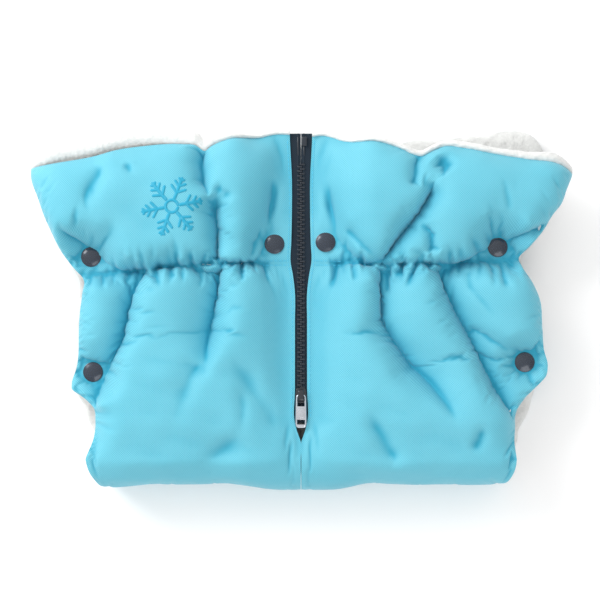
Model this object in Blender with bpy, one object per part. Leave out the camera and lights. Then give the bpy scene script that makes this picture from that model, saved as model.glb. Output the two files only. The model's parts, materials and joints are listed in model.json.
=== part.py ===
"""Padded hand muff for a pushchair handle, lying on its back panel.

Two padded front halves meet at a zip. Each turns on the soft fold that joins it to the back panel,
and press studs hold it down. +X is across the muff, +Y points to the collars, +Z is up.
"""

import math

import bmesh
import bpy
from mathutils import Matrix, Vector

MM = 0.001
LEFT, RIGHT = -1, 1
SIDE_NAMES = {LEFT: "left", RIGHT: "right"}

# Outline, seen from above
COLLAR_HALF_WIDTH = 204.5 * MM
POCKET_HALF_WIDTH = 177 * MM
WAIST_HALF_WIDTH = {LEFT: 173 * MM, RIGHT: 167 * MM}
FOLD_HALF_WIDTH = 160 * MM
FOLD_CORNER = 4 * MM
SIDE_SNAP_HALF_WIDTH = {LEFT: 175 * MM, RIGHT: 184 * MM}
FOLD_Y = -135 * MM
TOP_Y = 135 * MM
COLLAR_TIP_Y = 108 * MM
BACK_COLLAR_INSET = 16.5 * MM  # how much narrower the back's collar is at each side
BACK_COLLAR_TIP_Y = 120 * MM
ELASTIC_Y = 33.5 * MM
LANE_TOP_Y = -76 * MM  # the handlebar lies between the fold and this line
TOP_STRAIGHT = 0.3  # share of the collar's half width where its top edge runs straight

# Heights above the table
FOLD_RADIUS = 26 * MM
FRONT_HEIGHT = 57 * MM
FRONT_RISE_LENGTH = 30 * MM  # from the fold up to the full height
COLLAR_EDGE_DROP = 9 * MM
COLLAR_DROP_LENGTH = 52 * MM
ELASTIC_GROOVE = 4 * MM
GROOVE_REACH = 18 * MM
ZIP_DIP_REACH = 60 * MM
ZIP_HEIGHT_AT_SNAPS = 37 * MM
OUTER_SEAT_HEIGHT = 35 * MM

# Cloth layers
GAP = 0.3 * MM  # between touching layers
SHELL = 0.8 * MM
WADDING = 7.0 * MM
LINING = 2.6 * MM
LINING_PRESSED = 1.2 * MM
PRESSED_AT_ZIP = 4.0 * MM
ZIP_PRESS_REACH = 45 * MM
ZIP_PRESS_FADE = 12 * MM
PRESSED_AT_CASING = 3.6 * MM
CASING_PRESS_REACH = 14 * MM
PRESSED_AT_SNAP = 4.1 * MM
ELASTIC_WIDTH = 12 * MM
ELASTIC_THICKNESS = 0.8 * MM
CASING_MARGIN = 3.5 * MM  # from the elastic to the wadding on each side

# Zip
SLIT_HALF_GAP = 0.4 * MM
SLIT_END_Y = -89.5 * MM  # below this the two front edges meet
SLIT_CLOSING = 7 * MM
ZIP_GAP_HIGH = 6.8 * MM
ZIP_GAP_TOP = 8.6 * MM
ZIP_END_MARGIN = 5.5 * MM
ZIP_TOP_MARGIN = 2 * MM
CHAIN_HALF_WIDTH = 2.95 * MM
TOOTH_OVERLAP = 0.95 * MM  # past the middle of the chain
TOOTH_SPINE = 1.35 * MM
TOOTH_PITCH = 3.5 * MM
TOOTH_CLEARANCE = 0.3 * MM
TOOTH_THICKNESS = 2.5 * MM
CHAIN_TOP_Y = 116 * MM
TAPE_THICKNESS = 0.5 * MM
TAPE_HALF_WIDTH = 14 * MM
SLIDER_WIDTH = 8.6 * MM
SLIDER_LENGTH = 11 * MM
SLIDER_PLATE = 1.1 * MM
SLIDER_Y = -64 * MM
SLIDER_SLOT = 1.2 * MM
SLIDER_CLEARANCE = 0.35 * MM
SLIDER_SIDE_GAP = 0.4 * MM
SLIDER_TAPER = 0.6 * MM
SLIDER_SHOULDER = 2.5 * MM
WEDGE_HALF_WIDTH = 1.1 * MM
WEDGE_SHOULDER = 1.5 * MM
WEDGE_LENGTH = 4.5 * MM
EMBED = 0.4 * MM  # how far united shapes go into each other
CROWN_WIDTH = 4.2 * MM
CROWN_LENGTH = 9.0 * MM
CROWN_BAR = 1.1 * MM
CROWN_LEG = 1.3 * MM
CROWN_CORNER = 1.2 * MM
CROWN_ROOM = 0.65 * MM
TAB_LENGTH = 24 * MM
TAB_WIDTH = 8.6 * MM
TAB_THICKNESS = 1.1 * MM
TAB_FRAME = 1.4 * MM
TAB_EYE_LENGTH = 9.5 * MM
TAB_HOLE = (5.4 * MM, 4.4 * MM)
TAB_NECK_STEP = 0.3 * MM
TAB_CORNER = 1.0 * MM
PIN_WIDTH = 1.4 * MM
PIN_LENGTH = 14 * MM
BOX_LENGTH = 7 * MM
BOX_HALF_WIDTH = 4.6 * MM
BOX_RISE = 0.9 * MM
STOP_LENGTH = 3 * MM
STOP_CLEARANCE = 2.8 * MM  # lets the slider swing past the other side's stop

# Press studs: where each stands from the zip, and its place along Y
SNAPS = {
    LEFT: {
        "inner": (19.9 * MM, 49.1 * MM),
        "outer": (157.7 * MM, 39.4 * MM),
        "side": (156.2 * MM, -47.0 * MM),
    },
    RIGHT: {
        "inner": (18.4 * MM, 50.5 * MM),
        "outer": (147.7 * MM, 46.8 * MM),
        "side": (168.0 * MM, -39.6 * MM),
    },
}
CAP_RADIUS = 7.5 * MM
CAP_HEIGHT = 1.7 * MM
CAP_DOME = ((0.55, 0.95), (0.88, 0.68))  # shares of the radius and the height
CAP_POST_RADIUS = 1.9 * MM
POST_RECESS = 0.1 * MM
RIM_CHAMFER = 0.4 * MM
SOCKET_RADIUS = 5.2 * MM
SOCKET_HEIGHT = 2.3 * MM
SOCKET_TOP_WALL = 1.0 * MM
STUD_RADIUS = 4.8 * MM
STUD_BASE = 0.8 * MM
NUB_RADIUS = 2.55 * MM
NUB_CLEARANCE = 0.45 * MM
NUB_CHAMFER = 0.3 * MM
BACK_POST_RADIUS = 1.4 * MM
BACK_CAP_RADIUS = 5.5 * MM
BACK_CAP_HEIGHT = 1.2 * MM
BACK_CAP_TAPER = 0.8  # share of the radius that stays flat
HOLE_CLEARANCE = 0.5 * MM
SEAT_MARGIN = 1.5 * MM
SEAT_FLAT = 2 * CAP_RADIUS
SEAT_REACH = 34 * MM

# Mesh fineness
COLUMN_STEP = 30 * MM
ROW_STEP = 36 * MM
LINE_MERGE = 3.6 * MM
SNAP_SIDES = 12
FOLD_STEPS = 8

# Worked out from the sizes above
AXIS_Y = FOLD_Y + FOLD_RADIUS
PANEL = SHELL + GAP + WADDING + GAP + LINING
INNER_SNAP_Y = (SNAPS[LEFT]["inner"][1] + SNAPS[RIGHT]["inner"][1]) / 2
ZIP_SLOPE = (2 * FOLD_RADIUS - ZIP_HEIGHT_AT_SNAPS) / (INNER_SNAP_Y - AXIS_Y)
ZIP_TILT = math.atan(ZIP_SLOPE)
SEAT_HALF = CAP_RADIUS + SEAT_MARGIN
SEAT_DEPTH = 2 * PRESSED_AT_SNAP + SOCKET_HEIGHT + STUD_BASE + 3 * GAP  # through a closed stud
CASING_LOW = ELASTIC_Y - ELASTIC_WIDTH / 2
CASING_HIGH = ELASTIC_Y + ELASTIC_WIDTH / 2
TAPE_TOP = -SHELL - GAP
TAPE_BOTTOM = TAPE_TOP - TAPE_THICKNESS
CHAIN_MIDDLE = (TAPE_TOP + TAPE_BOTTOM) / 2


def blend(a, b, share):
    return a + (b - a) * share


def ramp(value, low, high):
    """0 below low, 1 above high, with a smooth change between them."""
    share = min(1.0, max(0.0, (value - low) / (high - low)))
    return share * share * (3 - 2 * share)


def stations(value, points):
    """A smooth line through (place, size) points in rising order."""
    if value <= points[0][0]:
        return points[0][1]
    for (a, size_a), (b, size_b) in zip(points, points[1:]):
        if value <= b:
            return blend(size_a, size_b, ramp(value, a, b))
    return points[-1][1]


# ---- outline ----


def half_width(side, y):
    """The panel's outer edge, measured from the zip."""
    side_y = SNAPS[side]["side"][1]
    outer_y = SNAPS[side]["outer"][1]
    return stations(
        y,
        [
            (FOLD_Y, FOLD_HALF_WIDTH - FOLD_CORNER),
            (AXIS_Y, FOLD_HALF_WIDTH),
            (side_y - SEAT_HALF, SIDE_SNAP_HALF_WIDTH[side]),
            (side_y + SEAT_HALF, SIDE_SNAP_HALF_WIDTH[side]),
            (0, POCKET_HALF_WIDTH),
            (CASING_LOW, WAIST_HALF_WIDTH[side]),
            (outer_y + SEAT_HALF, WAIST_HALF_WIDTH[side]),
            (COLLAR_TIP_Y, COLLAR_HALF_WIDTH),
        ],
    )


def back_half_width(side, y):
    scale = 1 - BACK_COLLAR_INSET / COLLAR_HALF_WIDTH
    return half_width(side, y) * blend(1.0, scale, ramp(y, ELASTIC_Y, COLLAR_TIP_Y))


def inner_edge(y):
    """Half the gap that the zip shows through."""
    return stations(
        y,
        [
            (SLIT_END_Y - SLIT_CLOSING, SLIT_HALF_GAP),
            (SLIT_END_Y, SLIDER_WIDTH / 2 + SLIDER_SIDE_GAP),
            (SLIDER_Y + SLIDER_LENGTH, SLIDER_WIDTH / 2 + SLIDER_SIDE_GAP),
            (ELASTIC_Y, ZIP_GAP_HIGH),
            (COLLAR_TIP_Y, ZIP_GAP_HIGH),
            (TOP_Y, ZIP_GAP_TOP),
        ],
    )


def top_edge(share, tip_y):
    """Where the collar ends, for a place from 0 at the zip to 1 at the side."""
    return blend(TOP_Y, tip_y, ramp(share, TOP_STRAIGHT, 1.0))


# ---- heights ----


def zip_height(y):
    return ZIP_HEIGHT_AT_SNAPS - (y - INNER_SNAP_Y) * ZIP_SLOPE


def seat_height(kind, y):
    return zip_height(y) if kind == "inner" else OUTER_SEAT_HEIGHT


def pinches(side, x, y):
    """(kind, how much the press stud draws the cloth to itself here, from 0 to 1)."""
    for kind, (snap_x, snap_y) in SNAPS[side].items():
        away = math.hypot(x - snap_x, y - snap_y)
        yield kind, 1 - ramp(away, SEAT_FLAT, SEAT_REACH)


def front_height(side, x, y):
    """The front's outer face, x from the zip."""
    height = blend(2 * FOLD_RADIUS, FRONT_HEIGHT, ramp(y, AXIS_Y, AXIS_Y + FRONT_RISE_LENGTH))
    height -= ELASTIC_GROOVE * (1 - ramp(abs(y - ELASTIC_Y), 0, GROOVE_REACH))
    height -= COLLAR_EDGE_DROP * ramp(y, TOP_Y - COLLAR_DROP_LENGTH, TOP_Y)
    height = blend(height, zip_height(y), 1 - ramp(x, TAPE_HALF_WIDTH + MM, ZIP_DIP_REACH))
    for kind, share in pinches(side, x, y):
        height = blend(height, seat_height(kind, y), share)
    return height


def back_height(side, x, y):
    """The back's outer face, which lies on the table but for the press studs."""
    height = 0.0
    for kind, share in pinches(side, x, y):
        height = blend(height, seat_height(kind, y) - SEAT_DEPTH, share)
    return height


def padding(side, x, y, has_zip):
    """The panel's whole thickness."""
    thick = PANEL
    beyond = abs(y - ELASTIC_Y) - ELASTIC_WIDTH / 2
    thick = blend(thick, PRESSED_AT_CASING, 1 - ramp(beyond, 0, CASING_PRESS_REACH))
    if has_zip:
        along = ramp(y, SLIT_END_Y - ZIP_PRESS_FADE, SLIT_END_Y)
        at_zip = (1 - ramp(x, TAPE_HALF_WIDTH + MM, ZIP_PRESS_REACH)) * along
        thick = blend(thick, PRESSED_AT_ZIP, at_zip)
    for kind, share in pinches(side, x, y):
        thick = blend(thick, PRESSED_AT_SNAP, share)
    return thick


def elastic_end(side):
    """The band stops short of the outer press stud."""
    return SNAPS[side]["outer"][0] - SEAT_HALF + MM


def lining_thickness(thick):
    return blend(LINING_PRESSED, LINING, ramp(thick, PRESSED_AT_SNAP, PANEL))


# ---- grids ----


def grid_lines(low, high, fixed, wished, step):
    """Lines from low to high: all the fixed ones, the wished ones that have room, and even fill."""
    kept = [low, *sorted(fixed), high]
    for line in sorted(wished):
        if min(abs(line - other) for other in kept) > LINE_MERGE:
            kept.append(line)
    kept.sort()
    filled = []
    for a, b in zip(kept, kept[1:]):
        count = max(1, round((b - a) / step))
        filled += [blend(a, b, i / count) for i in range(count)]
    return [*filled, high]


def row_lines():
    seats = [y for side in SNAPS for _, y in SNAPS[side].values()]
    wished = [y + offset for y in seats for offset in (-SEAT_HALF, SEAT_HALF)]
    fixed = [
        SLIT_END_Y,
        LANE_TOP_Y,
        CASING_LOW - CASING_MARGIN,
        CASING_LOW,
        CASING_HIGH,
        CASING_HIGH + CASING_MARGIN,
    ]
    return grid_lines(AXIS_Y + GAP, TOP_Y, fixed, wished, ROW_STEP)


def column_lines(side):
    """Columns as shares of the half width, from the inner press stud outwards."""
    wished = []
    for kind, (x, y) in SNAPS[side].items():
        for offset in (-SEAT_HALF, SEAT_HALF):
            if kind != "inner":
                wished.append((x + offset) / half_width(side, y) * POCKET_HALF_WIDTH)
    x, y = SNAPS[side]["inner"]
    scale = POCKET_HALF_WIDTH / half_width(side, y)
    inner = [(x - SEAT_HALF) * scale, (x + SEAT_HALF) * scale]
    lines = grid_lines(inner[0], POCKET_HALF_WIDTH, inner[1:], wished, COLUMN_STEP)
    return [line / POCKET_HALF_WIDTH for line in lines]


ROWS = row_lines()
POCKET_ROWS = [row for row in ROWS if row < CASING_LOW - CASING_MARGIN / 2]
COLLAR_ROWS = [row for row in ROWS if row > CASING_HIGH + CASING_MARGIN / 2]
CASING_ROWS = [row for row in ROWS if abs(row - ELASTIC_Y) < (ELASTIC_WIDTH + CASING_MARGIN) / 2]
COLUMNS = {side: column_lines(side) for side in SNAPS}
BEND_Y = max(y for side in SNAPS for _, y in SNAPS[side].values()) + SEAT_HALF


def grid_point(side, share, row, width_of, tip_y):
    """(distance from the zip, y) for a column's share and a row's line."""
    y = row
    if row > BEND_Y:
        reach = (row - BEND_Y) / (TOP_Y - BEND_Y)
        y = blend(BEND_Y, top_edge(share, tip_y), reach)
    return share * width_of(side, y), y


def front_grid(side, shares, rows, from_zip=False):
    """Rows of (side, x, y) points of a front half. from_zip adds the column at the zip."""
    grid = []
    for row in rows:
        points = [grid_point(side, s, row, half_width, COLLAR_TIP_Y) for s in shares]
        line = [(side, x, y) for x, y in points]
        if from_zip:
            line.insert(0, (side, inner_edge(line[0][2]), line[0][2]))
        grid.append(line if side == RIGHT else line[::-1])
    return grid


def back_grid(rows):
    grid = []
    for row in rows:
        halves = {
            side: [
                (side, *grid_point(side, s, row, back_half_width, BACK_COLLAR_TIP_Y))
                for s in COLUMNS[side]
            ]
            for side in SNAPS
        }
        middle = (RIGHT, 0.0, halves[RIGHT][0][2])
        grid.append([*halves[LEFT][::-1], middle, *halves[RIGHT]])
    return grid


# ---- making objects ----


def material(name, colour, roughness, metallic=0.0):
    made = bpy.data.materials.new(name)
    made.use_nodes = True
    shader = made.node_tree.nodes["Principled BSDF"]
    shader.inputs["Base Color"].default_value = (*colour, 1.0)
    shader.inputs["Roughness"].default_value = roughness
    shader.inputs["Metallic"].default_value = metallic
    return made


def add_object(name, mesh, surface, parent=None):
    """A new object whose mesh is already where it belongs, or is placed later."""
    made = bpy.data.objects.new(name, mesh)
    mesh.materials.append(surface)
    bpy.context.scene.collection.objects.link(made)
    if parent:
        made.parent = parent
        made.matrix_parent_inverse = Matrix.Translation(-parent.location)
    return made


def layer(name, grid, top, bottom, surface, parent=None):
    """A closed sheet over a grid of (side, x, y) points, between two height functions."""
    count = len(grid[0])
    points = [point for row in grid for point in row]
    verts = []
    for height in (top, bottom):
        for side, x, y in points:
            verts.append((side * x, y, height(side, x, y)))
    faces = []
    below = len(points)
    for j in range(len(grid) - 1):
        for i in range(count - 1):
            a = j * count + i
            b, c, d = a + 1, a + count + 1, a + count
            faces += [(a, b, c), (a, c, d)]
            faces += [(below + a, below + c, below + b), (below + a, below + d, below + c)]
    rim = list(range(count))
    rim += [j * count + count - 1 for j in range(1, len(grid))]
    rim += [(len(grid) - 1) * count + i for i in range(count - 2, -1, -1)]
    rim += [j * count for j in range(len(grid) - 2, 0, -1)]
    for a, b in zip(rim, rim[1:] + rim[:1]):
        faces.append((a, below + a, below + b, b))
    mesh = bpy.data.meshes.new(name)
    mesh.from_pydata(verts, [], faces)
    return add_object(name, mesh, surface, parent)


def turned(name, profile, surface, parent=None):
    """A round piece: a closed profile of (radius, height) points spun about Z."""
    shape = bmesh.new()
    ring = [shape.verts.new((radius, 0, height)) for radius, height in profile]
    edges = [shape.edges.new(pair) for pair in zip(ring, ring[1:] + ring[:1])]
    bmesh.ops.spin(
        shape,
        geom=ring + edges,
        axis=(0, 0, 1),
        cent=(0, 0, 0),
        angle=math.tau,
        steps=SNAP_SIDES,
    )
    bmesh.ops.remove_doubles(shape, verts=shape.verts, dist=1e-6)
    bmesh.ops.dissolve_degenerate(shape, edges=shape.edges, dist=1e-6)
    bmesh.ops.recalc_face_normals(shape, faces=shape.faces)
    mesh = bpy.data.meshes.new(name)
    shape.to_mesh(mesh)
    shape.free()
    mesh.shade_smooth()
    mesh.set_sharp_from_angle(angle=math.radians(35))
    return add_object(name, mesh, surface, parent)


def extruded(name, outline, low, high, surface, axis="Z"):
    """An outline of two-value points, extruded from low to high along an axis."""
    placed = {"Z": lambda u, v, w: (u, v, w), "X": lambda u, v, w: (w, u, v)}[axis]
    shape = bmesh.new()
    bottom = [shape.verts.new(placed(u, v, low)) for u, v in outline]
    face = shape.faces.new(bottom)
    raised = bmesh.ops.extrude_face_region(shape, geom=[face])
    moved = [v for v in raised["geom"] if isinstance(v, bmesh.types.BMVert)]
    bmesh.ops.translate(shape, verts=moved, vec=placed(0, 0, high - low))
    bmesh.ops.recalc_face_normals(shape, faces=shape.faces)
    mesh = bpy.data.meshes.new(name)
    shape.to_mesh(mesh)
    shape.free()
    return add_object(name, mesh, surface)


def rectangle(x_low, x_high, y_low, y_high):
    return [(x_low, y_low), (x_high, y_low), (x_high, y_high), (x_low, y_high)]


def helper(made):
    """Marks a cutter or another shape that isn't a piece."""
    made.hide_render = True
    made.display_type = "WIRE"
    return made


def boolean(target, tool, operation="DIFFERENCE"):
    modifier = target.modifiers.new(f"{operation.lower()}_{tool.name}", "BOOLEAN")
    modifier.operation = operation
    modifier.object = tool


def empty(name, location):
    made = bpy.data.objects.new(name, None)
    made.location = location
    bpy.context.scene.collection.objects.link(made)
    return made


# ---- soft parts ----


def seat_frame(side, kind):
    """Where a press stud stands: its middle on the front's outer face, and its turn."""
    x, y = SNAPS[side][kind]
    tilt = -ZIP_TILT if kind == "inner" else 0.0
    place = Vector((side * x, y, seat_height(kind, y)))
    return Matrix.Translation(place) @ Matrix.Rotation(tilt, 4, "X")


def make_hole_cutters():
    cutters = {}
    length = FRONT_HEIGHT
    for side in SNAPS:
        for kind in SNAPS[side]:
            profile = [
                (0, -length),
                (CAP_POST_RADIUS + HOLE_CLEARANCE, -length),
                (CAP_POST_RADIUS + HOLE_CLEARANCE, length / 2),
                (0, length / 2),
            ]
            cutter = turned(f"hole_{SIDE_NAMES[side]}_{kind}", profile, MATERIALS["cutter"])
            cutter.matrix_world = seat_frame(side, kind)
            cutters[side, kind] = helper(cutter)
    return cutters


def make_front_half(side, hinge, cutters):
    """Shell, two pads of wadding, fleece lining and elastic of one front half."""
    tag = SIDE_NAMES[side]

    def shell_bottom(s, x, y):
        return front_height(s, x, y) - SHELL

    def inner_face(s, x, y):
        return front_height(s, x, y) - padding(s, x, y, True)

    def lining_top(s, x, y):
        return inner_face(s, x, y) + lining_thickness(padding(s, x, y, True))

    def pad_top(s, x, y):
        return shell_bottom(s, x, y) - GAP

    def pad_bottom(s, x, y):
        return lining_top(s, x, y) + GAP

    def elastic_bottom(s, x, y):
        return pad_top(s, x, y) - ELASTIC_THICKNESS

    whole = front_grid(side, COLUMNS[side], ROWS, from_zip=True)
    padded = COLUMNS[side][1:]
    band = [share for share in padded if share * half_width(side, ELASTIC_Y) <= elastic_end(side)]
    low = front_grid(side, padded, POCKET_ROWS)
    high = front_grid(side, padded, COLLAR_ROWS)
    casing = front_grid(side, band, CASING_ROWS)
    cloth, fleece = MATERIALS["shell"], MATERIALS["fleece"]
    filling, rubber = MATERIALS["wadding"], MATERIALS["elastic"]
    shell = layer(f"shell_front_{tag}", whole, front_height, shell_bottom, cloth, hinge)
    lining = layer(f"lining_front_{tag}", whole, lining_top, inner_face, fleece, hinge)
    pocket = layer(f"wadding_pocket_{tag}", low, pad_top, pad_bottom, filling, hinge)
    collar = layer(f"wadding_collar_{tag}", high, pad_top, pad_bottom, filling, hinge)
    layer(f"elastic_front_{tag}", casing, pad_top, elastic_bottom, rubber, hinge)
    for kind in SNAPS[side]:
        boolean(shell, cutters[side, kind])
        boolean(lining, cutters[side, kind])
    boolean(pocket, cutters[side, "side"])
    boolean(collar, cutters[side, "outer"])


def make_back(cutters):
    """The back panel, in one piece across both halves."""

    def shell_top(s, x, y):
        return back_height(s, x, y) + SHELL

    def inner_face(s, x, y):
        return back_height(s, x, y) + padding(s, x, y, False)

    def lining_bottom(s, x, y):
        return inner_face(s, x, y) - lining_thickness(padding(s, x, y, False))

    def pad_bottom(s, x, y):
        return shell_top(s, x, y) + GAP

    def pad_top(s, x, y):
        return lining_bottom(s, x, y) - GAP

    def elastic_top(s, x, y):
        return pad_bottom(s, x, y) + ELASTIC_THICKNESS

    low, high = back_grid(POCKET_ROWS), back_grid(COLLAR_ROWS)
    filling = MATERIALS["wadding"]
    shell = layer("shell_back", back_grid(ROWS), shell_top, back_height, MATERIALS["shell"])
    lining = layer("lining_back", back_grid(ROWS), inner_face, lining_bottom, MATERIALS["fleece"])
    pocket = layer("wadding_back_pocket", low, pad_top, pad_bottom, filling)
    collar = layer("wadding_back_collar", high, pad_top, pad_bottom, filling)
    band = []
    for line in back_grid(CASING_ROWS):
        band.append([p for p in line if p[1] <= elastic_end(p[0])])
    layer("elastic_back", band, elastic_top, pad_bottom, MATERIALS["elastic"])
    for side in SNAPS:
        for kind in SNAPS[side]:
            boolean(shell, cutters[side, kind])
            boolean(lining, cutters[side, kind])
            boolean(pocket if kind == "side" else collar, cutters[side, kind])


def fold_ring(outer, inner):
    """Half a ring in the YZ plane, open towards +Y, about the fold's axis."""
    points = []
    for radius, order in ((outer, 1), (inner, -1)):
        arc = []
        for step in range(FOLD_STEPS + 1):
            angle = math.pi / 2 + math.pi * step / FOLD_STEPS
            arc.append((AXIS_Y + radius * math.cos(angle), FOLD_RADIUS + radius * math.sin(angle)))
        points += arc[::order]
    return points


def make_fold(side):
    """The soft roll that joins a front half to the back."""
    tag = SIDE_NAMES[side]
    ends = sorted((side * SLIT_HALF_GAP, side * FOLD_HALF_WIDTH))
    pad_outer = FOLD_RADIUS - SHELL - GAP
    pad_inner = pad_outer - WADDING
    lining_outer = pad_inner - GAP
    for name, outer, inner, surface in (
        (f"shell_fold_{tag}", FOLD_RADIUS, FOLD_RADIUS - SHELL, "shell"),
        (f"wadding_fold_{tag}", pad_outer, pad_inner, "wadding"),
        (f"lining_fold_{tag}", lining_outer, lining_outer - LINING, "fleece"),
    ):
        extruded(name, fold_ring(outer, inner), ends[0], ends[1], MATERIALS[surface], axis="X")


# ---- press studs ----


def make_snap(side, kind, hinge):
    """Cap and socket on the front half, stud and back cap on the back panel."""
    tag = f"{SIDE_NAMES[side]}_{kind}"
    cloth = PRESSED_AT_SNAP
    socket_top = -cloth - GAP
    socket_bottom = socket_top - SOCKET_HEIGHT
    cavity_top = socket_top - SOCKET_TOP_WALL
    stud_top = socket_bottom - GAP
    stud_bottom = stud_top - STUD_BASE
    back_face = -SEAT_DEPTH
    bore = CAP_POST_RADIUS + GAP
    cap = [
        (0, CAP_HEIGHT),
        *[(CAP_RADIUS * wide, CAP_HEIGHT * high) for wide, high in CAP_DOME],
        (CAP_RADIUS, GAP + RIM_CHAMFER),
        (CAP_RADIUS, GAP),
        (CAP_POST_RADIUS, GAP),
        (CAP_POST_RADIUS, cavity_top + POST_RECESS),
        (0, cavity_top + POST_RECESS),
    ]
    socket = [
        (bore, socket_top),
        (SOCKET_RADIUS, socket_top),
        (SOCKET_RADIUS, socket_bottom + RIM_CHAMFER),
        (SOCKET_RADIUS - RIM_CHAMFER, socket_bottom),
        (NUB_RADIUS + NUB_CLEARANCE, socket_bottom),
        (NUB_RADIUS + NUB_CLEARANCE, cavity_top),
        (bore, cavity_top),
    ]
    nub_top = cavity_top - GAP
    stud = [
        (0, nub_top),
        (NUB_RADIUS - NUB_CHAMFER, nub_top),
        (NUB_RADIUS, nub_top - NUB_CHAMFER),
        (NUB_RADIUS, stud_top),
        (STUD_RADIUS, stud_top),
        (STUD_RADIUS, stud_bottom),
        (BACK_POST_RADIUS + GAP, stud_bottom),
        (BACK_POST_RADIUS + GAP, stud_top),
        (0, stud_top),
    ]
    back_cap = [
        (0, stud_top - GAP),
        (BACK_POST_RADIUS, stud_top - GAP),
        (BACK_POST_RADIUS, back_face - GAP),
        (BACK_CAP_RADIUS, back_face - GAP),
        (BACK_CAP_RADIUS, back_face - GAP - RIM_CHAMFER),
        (BACK_CAP_RADIUS * BACK_CAP_TAPER, back_face - GAP - BACK_CAP_HEIGHT),
        (0, back_face - GAP - BACK_CAP_HEIGHT),
    ]
    for name, profile, surface, parent in (
        (f"snap_cap_{tag}", cap, "snap_paint", hinge),
        (f"snap_socket_{tag}", socket, "snap_metal", hinge),
        (f"snap_stud_{tag}", stud, "snap_metal", None),
        (f"snap_back_{tag}", back_cap, "snap_paint", None),
    ):
        made = turned(name, profile, MATERIALS[surface], parent)
        made.matrix_basis = seat_frame(side, kind)


# ---- zip, in its own frame: x across, y along it, z off the cloth ----

ZIP_ORIGIN = Vector((0, INNER_SNAP_Y, ZIP_HEIGHT_AT_SNAPS))
ZIP_TURN = Matrix.Rotation(-ZIP_TILT, 4, "X")
ZIP_FRAME = Matrix.Translation(ZIP_ORIGIN) @ ZIP_TURN


def along_zip(y):
    """The place along the zip of a point whose world place is y."""
    return (y - INNER_SNAP_Y) / math.cos(ZIP_TILT)


def place_on_zip(made, parent):
    made.parent = parent
    made.matrix_parent_inverse = Matrix.Translation(-parent.location)
    made.matrix_basis = ZIP_FRAME
    return made


SLIDER_PLACE = along_zip(SLIDER_Y)
SLIDER_NOSE = SLIDER_PLACE - SLIDER_LENGTH / 2
CHAIN_LOW = SLIDER_PLACE
CHAIN_HIGH = along_zip(CHAIN_TOP_Y)
ZIP_LOW = along_zip(SLIT_END_Y + ZIP_END_MARGIN)
ZIP_HIGH = along_zip(TOP_Y - ZIP_TOP_MARGIN)


def teeth_outline(side):
    """A comb: a spine along the tape's edge with a tooth at each pitch."""
    spine_outer = CHAIN_HALF_WIDTH
    spine_inner = CHAIN_HALF_WIDTH - TOOTH_SPINE
    tooth = TOOTH_PITCH / 2 - TOOTH_CLEARANCE
    offset = 0 if side == LEFT else TOOTH_PITCH / 2
    count = int((CHAIN_HIGH - CHAIN_LOW - TOOTH_PITCH) / TOOTH_PITCH)
    outline = [(side * spine_outer, CHAIN_LOW)]
    outline.append((side * spine_inner, CHAIN_LOW))
    for index in range(count):
        low = CHAIN_LOW + offset + index * TOOTH_PITCH + TOOTH_CLEARANCE
        outline += [
            (side * spine_inner, low),
            (-side * TOOTH_OVERLAP, low),
            (-side * TOOTH_OVERLAP, low + tooth),
            (side * spine_inner, low + tooth),
        ]
    outline.append((side * spine_inner, CHAIN_HIGH))
    outline.append((side * spine_outer, CHAIN_HIGH))
    return outline


def make_zip_half(side, hinge):
    """Tape, row of teeth, pin and end stop of one side."""
    tag = SIDE_NAMES[side]
    half = TOOTH_THICKNESS / 2
    tape_inner = CHAIN_HALF_WIDTH + GAP
    plastic = MATERIALS["teeth"]
    tape = rectangle(*sorted((side * tape_inner, side * TAPE_HALF_WIDTH)), ZIP_LOW, ZIP_HIGH)
    place_on_zip(extruded(f"zip_tape_{tag}", tape, TAPE_BOTTOM, TAPE_TOP, MATERIALS["tape"]), hinge)
    low, high = CHAIN_MIDDLE - half, CHAIN_MIDDLE + half
    place_on_zip(extruded(f"zip_teeth_{tag}", teeth_outline(side), low, high, plastic), hinge)
    pin_inner = CHAIN_HALF_WIDTH - PIN_WIDTH
    pin_low = CHAIN_HIGH + GAP
    pin_high = pin_low + PIN_LENGTH
    if side == RIGHT:
        pin_high -= BOX_LENGTH + GAP
    sides = sorted((side * pin_inner, side * CHAIN_HALF_WIDTH))
    pin = rectangle(*sides, pin_low, pin_high)
    name = "zip_insertion_pin" if side == LEFT else "zip_fixed_pin"
    place_on_zip(extruded(name, pin, low + GAP, high - GAP, plastic), hinge)
    stop_high = SLIDER_NOSE - STOP_CLEARANCE
    stop = rectangle(*sides, stop_high - STOP_LENGTH, stop_high)
    place_on_zip(extruded(f"zip_end_stop_{tag}", stop, low, high, plastic), hinge)
    if side == RIGHT:
        box = rectangle(GAP, BOX_HALF_WIDTH, pin_high + GAP, pin_high + GAP + BOX_LENGTH)
        made = extruded("zip_retainer_box", box, TAPE_TOP + GAP, high + BOX_RISE, plastic)
        place_on_zip(made, hinge)


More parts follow.
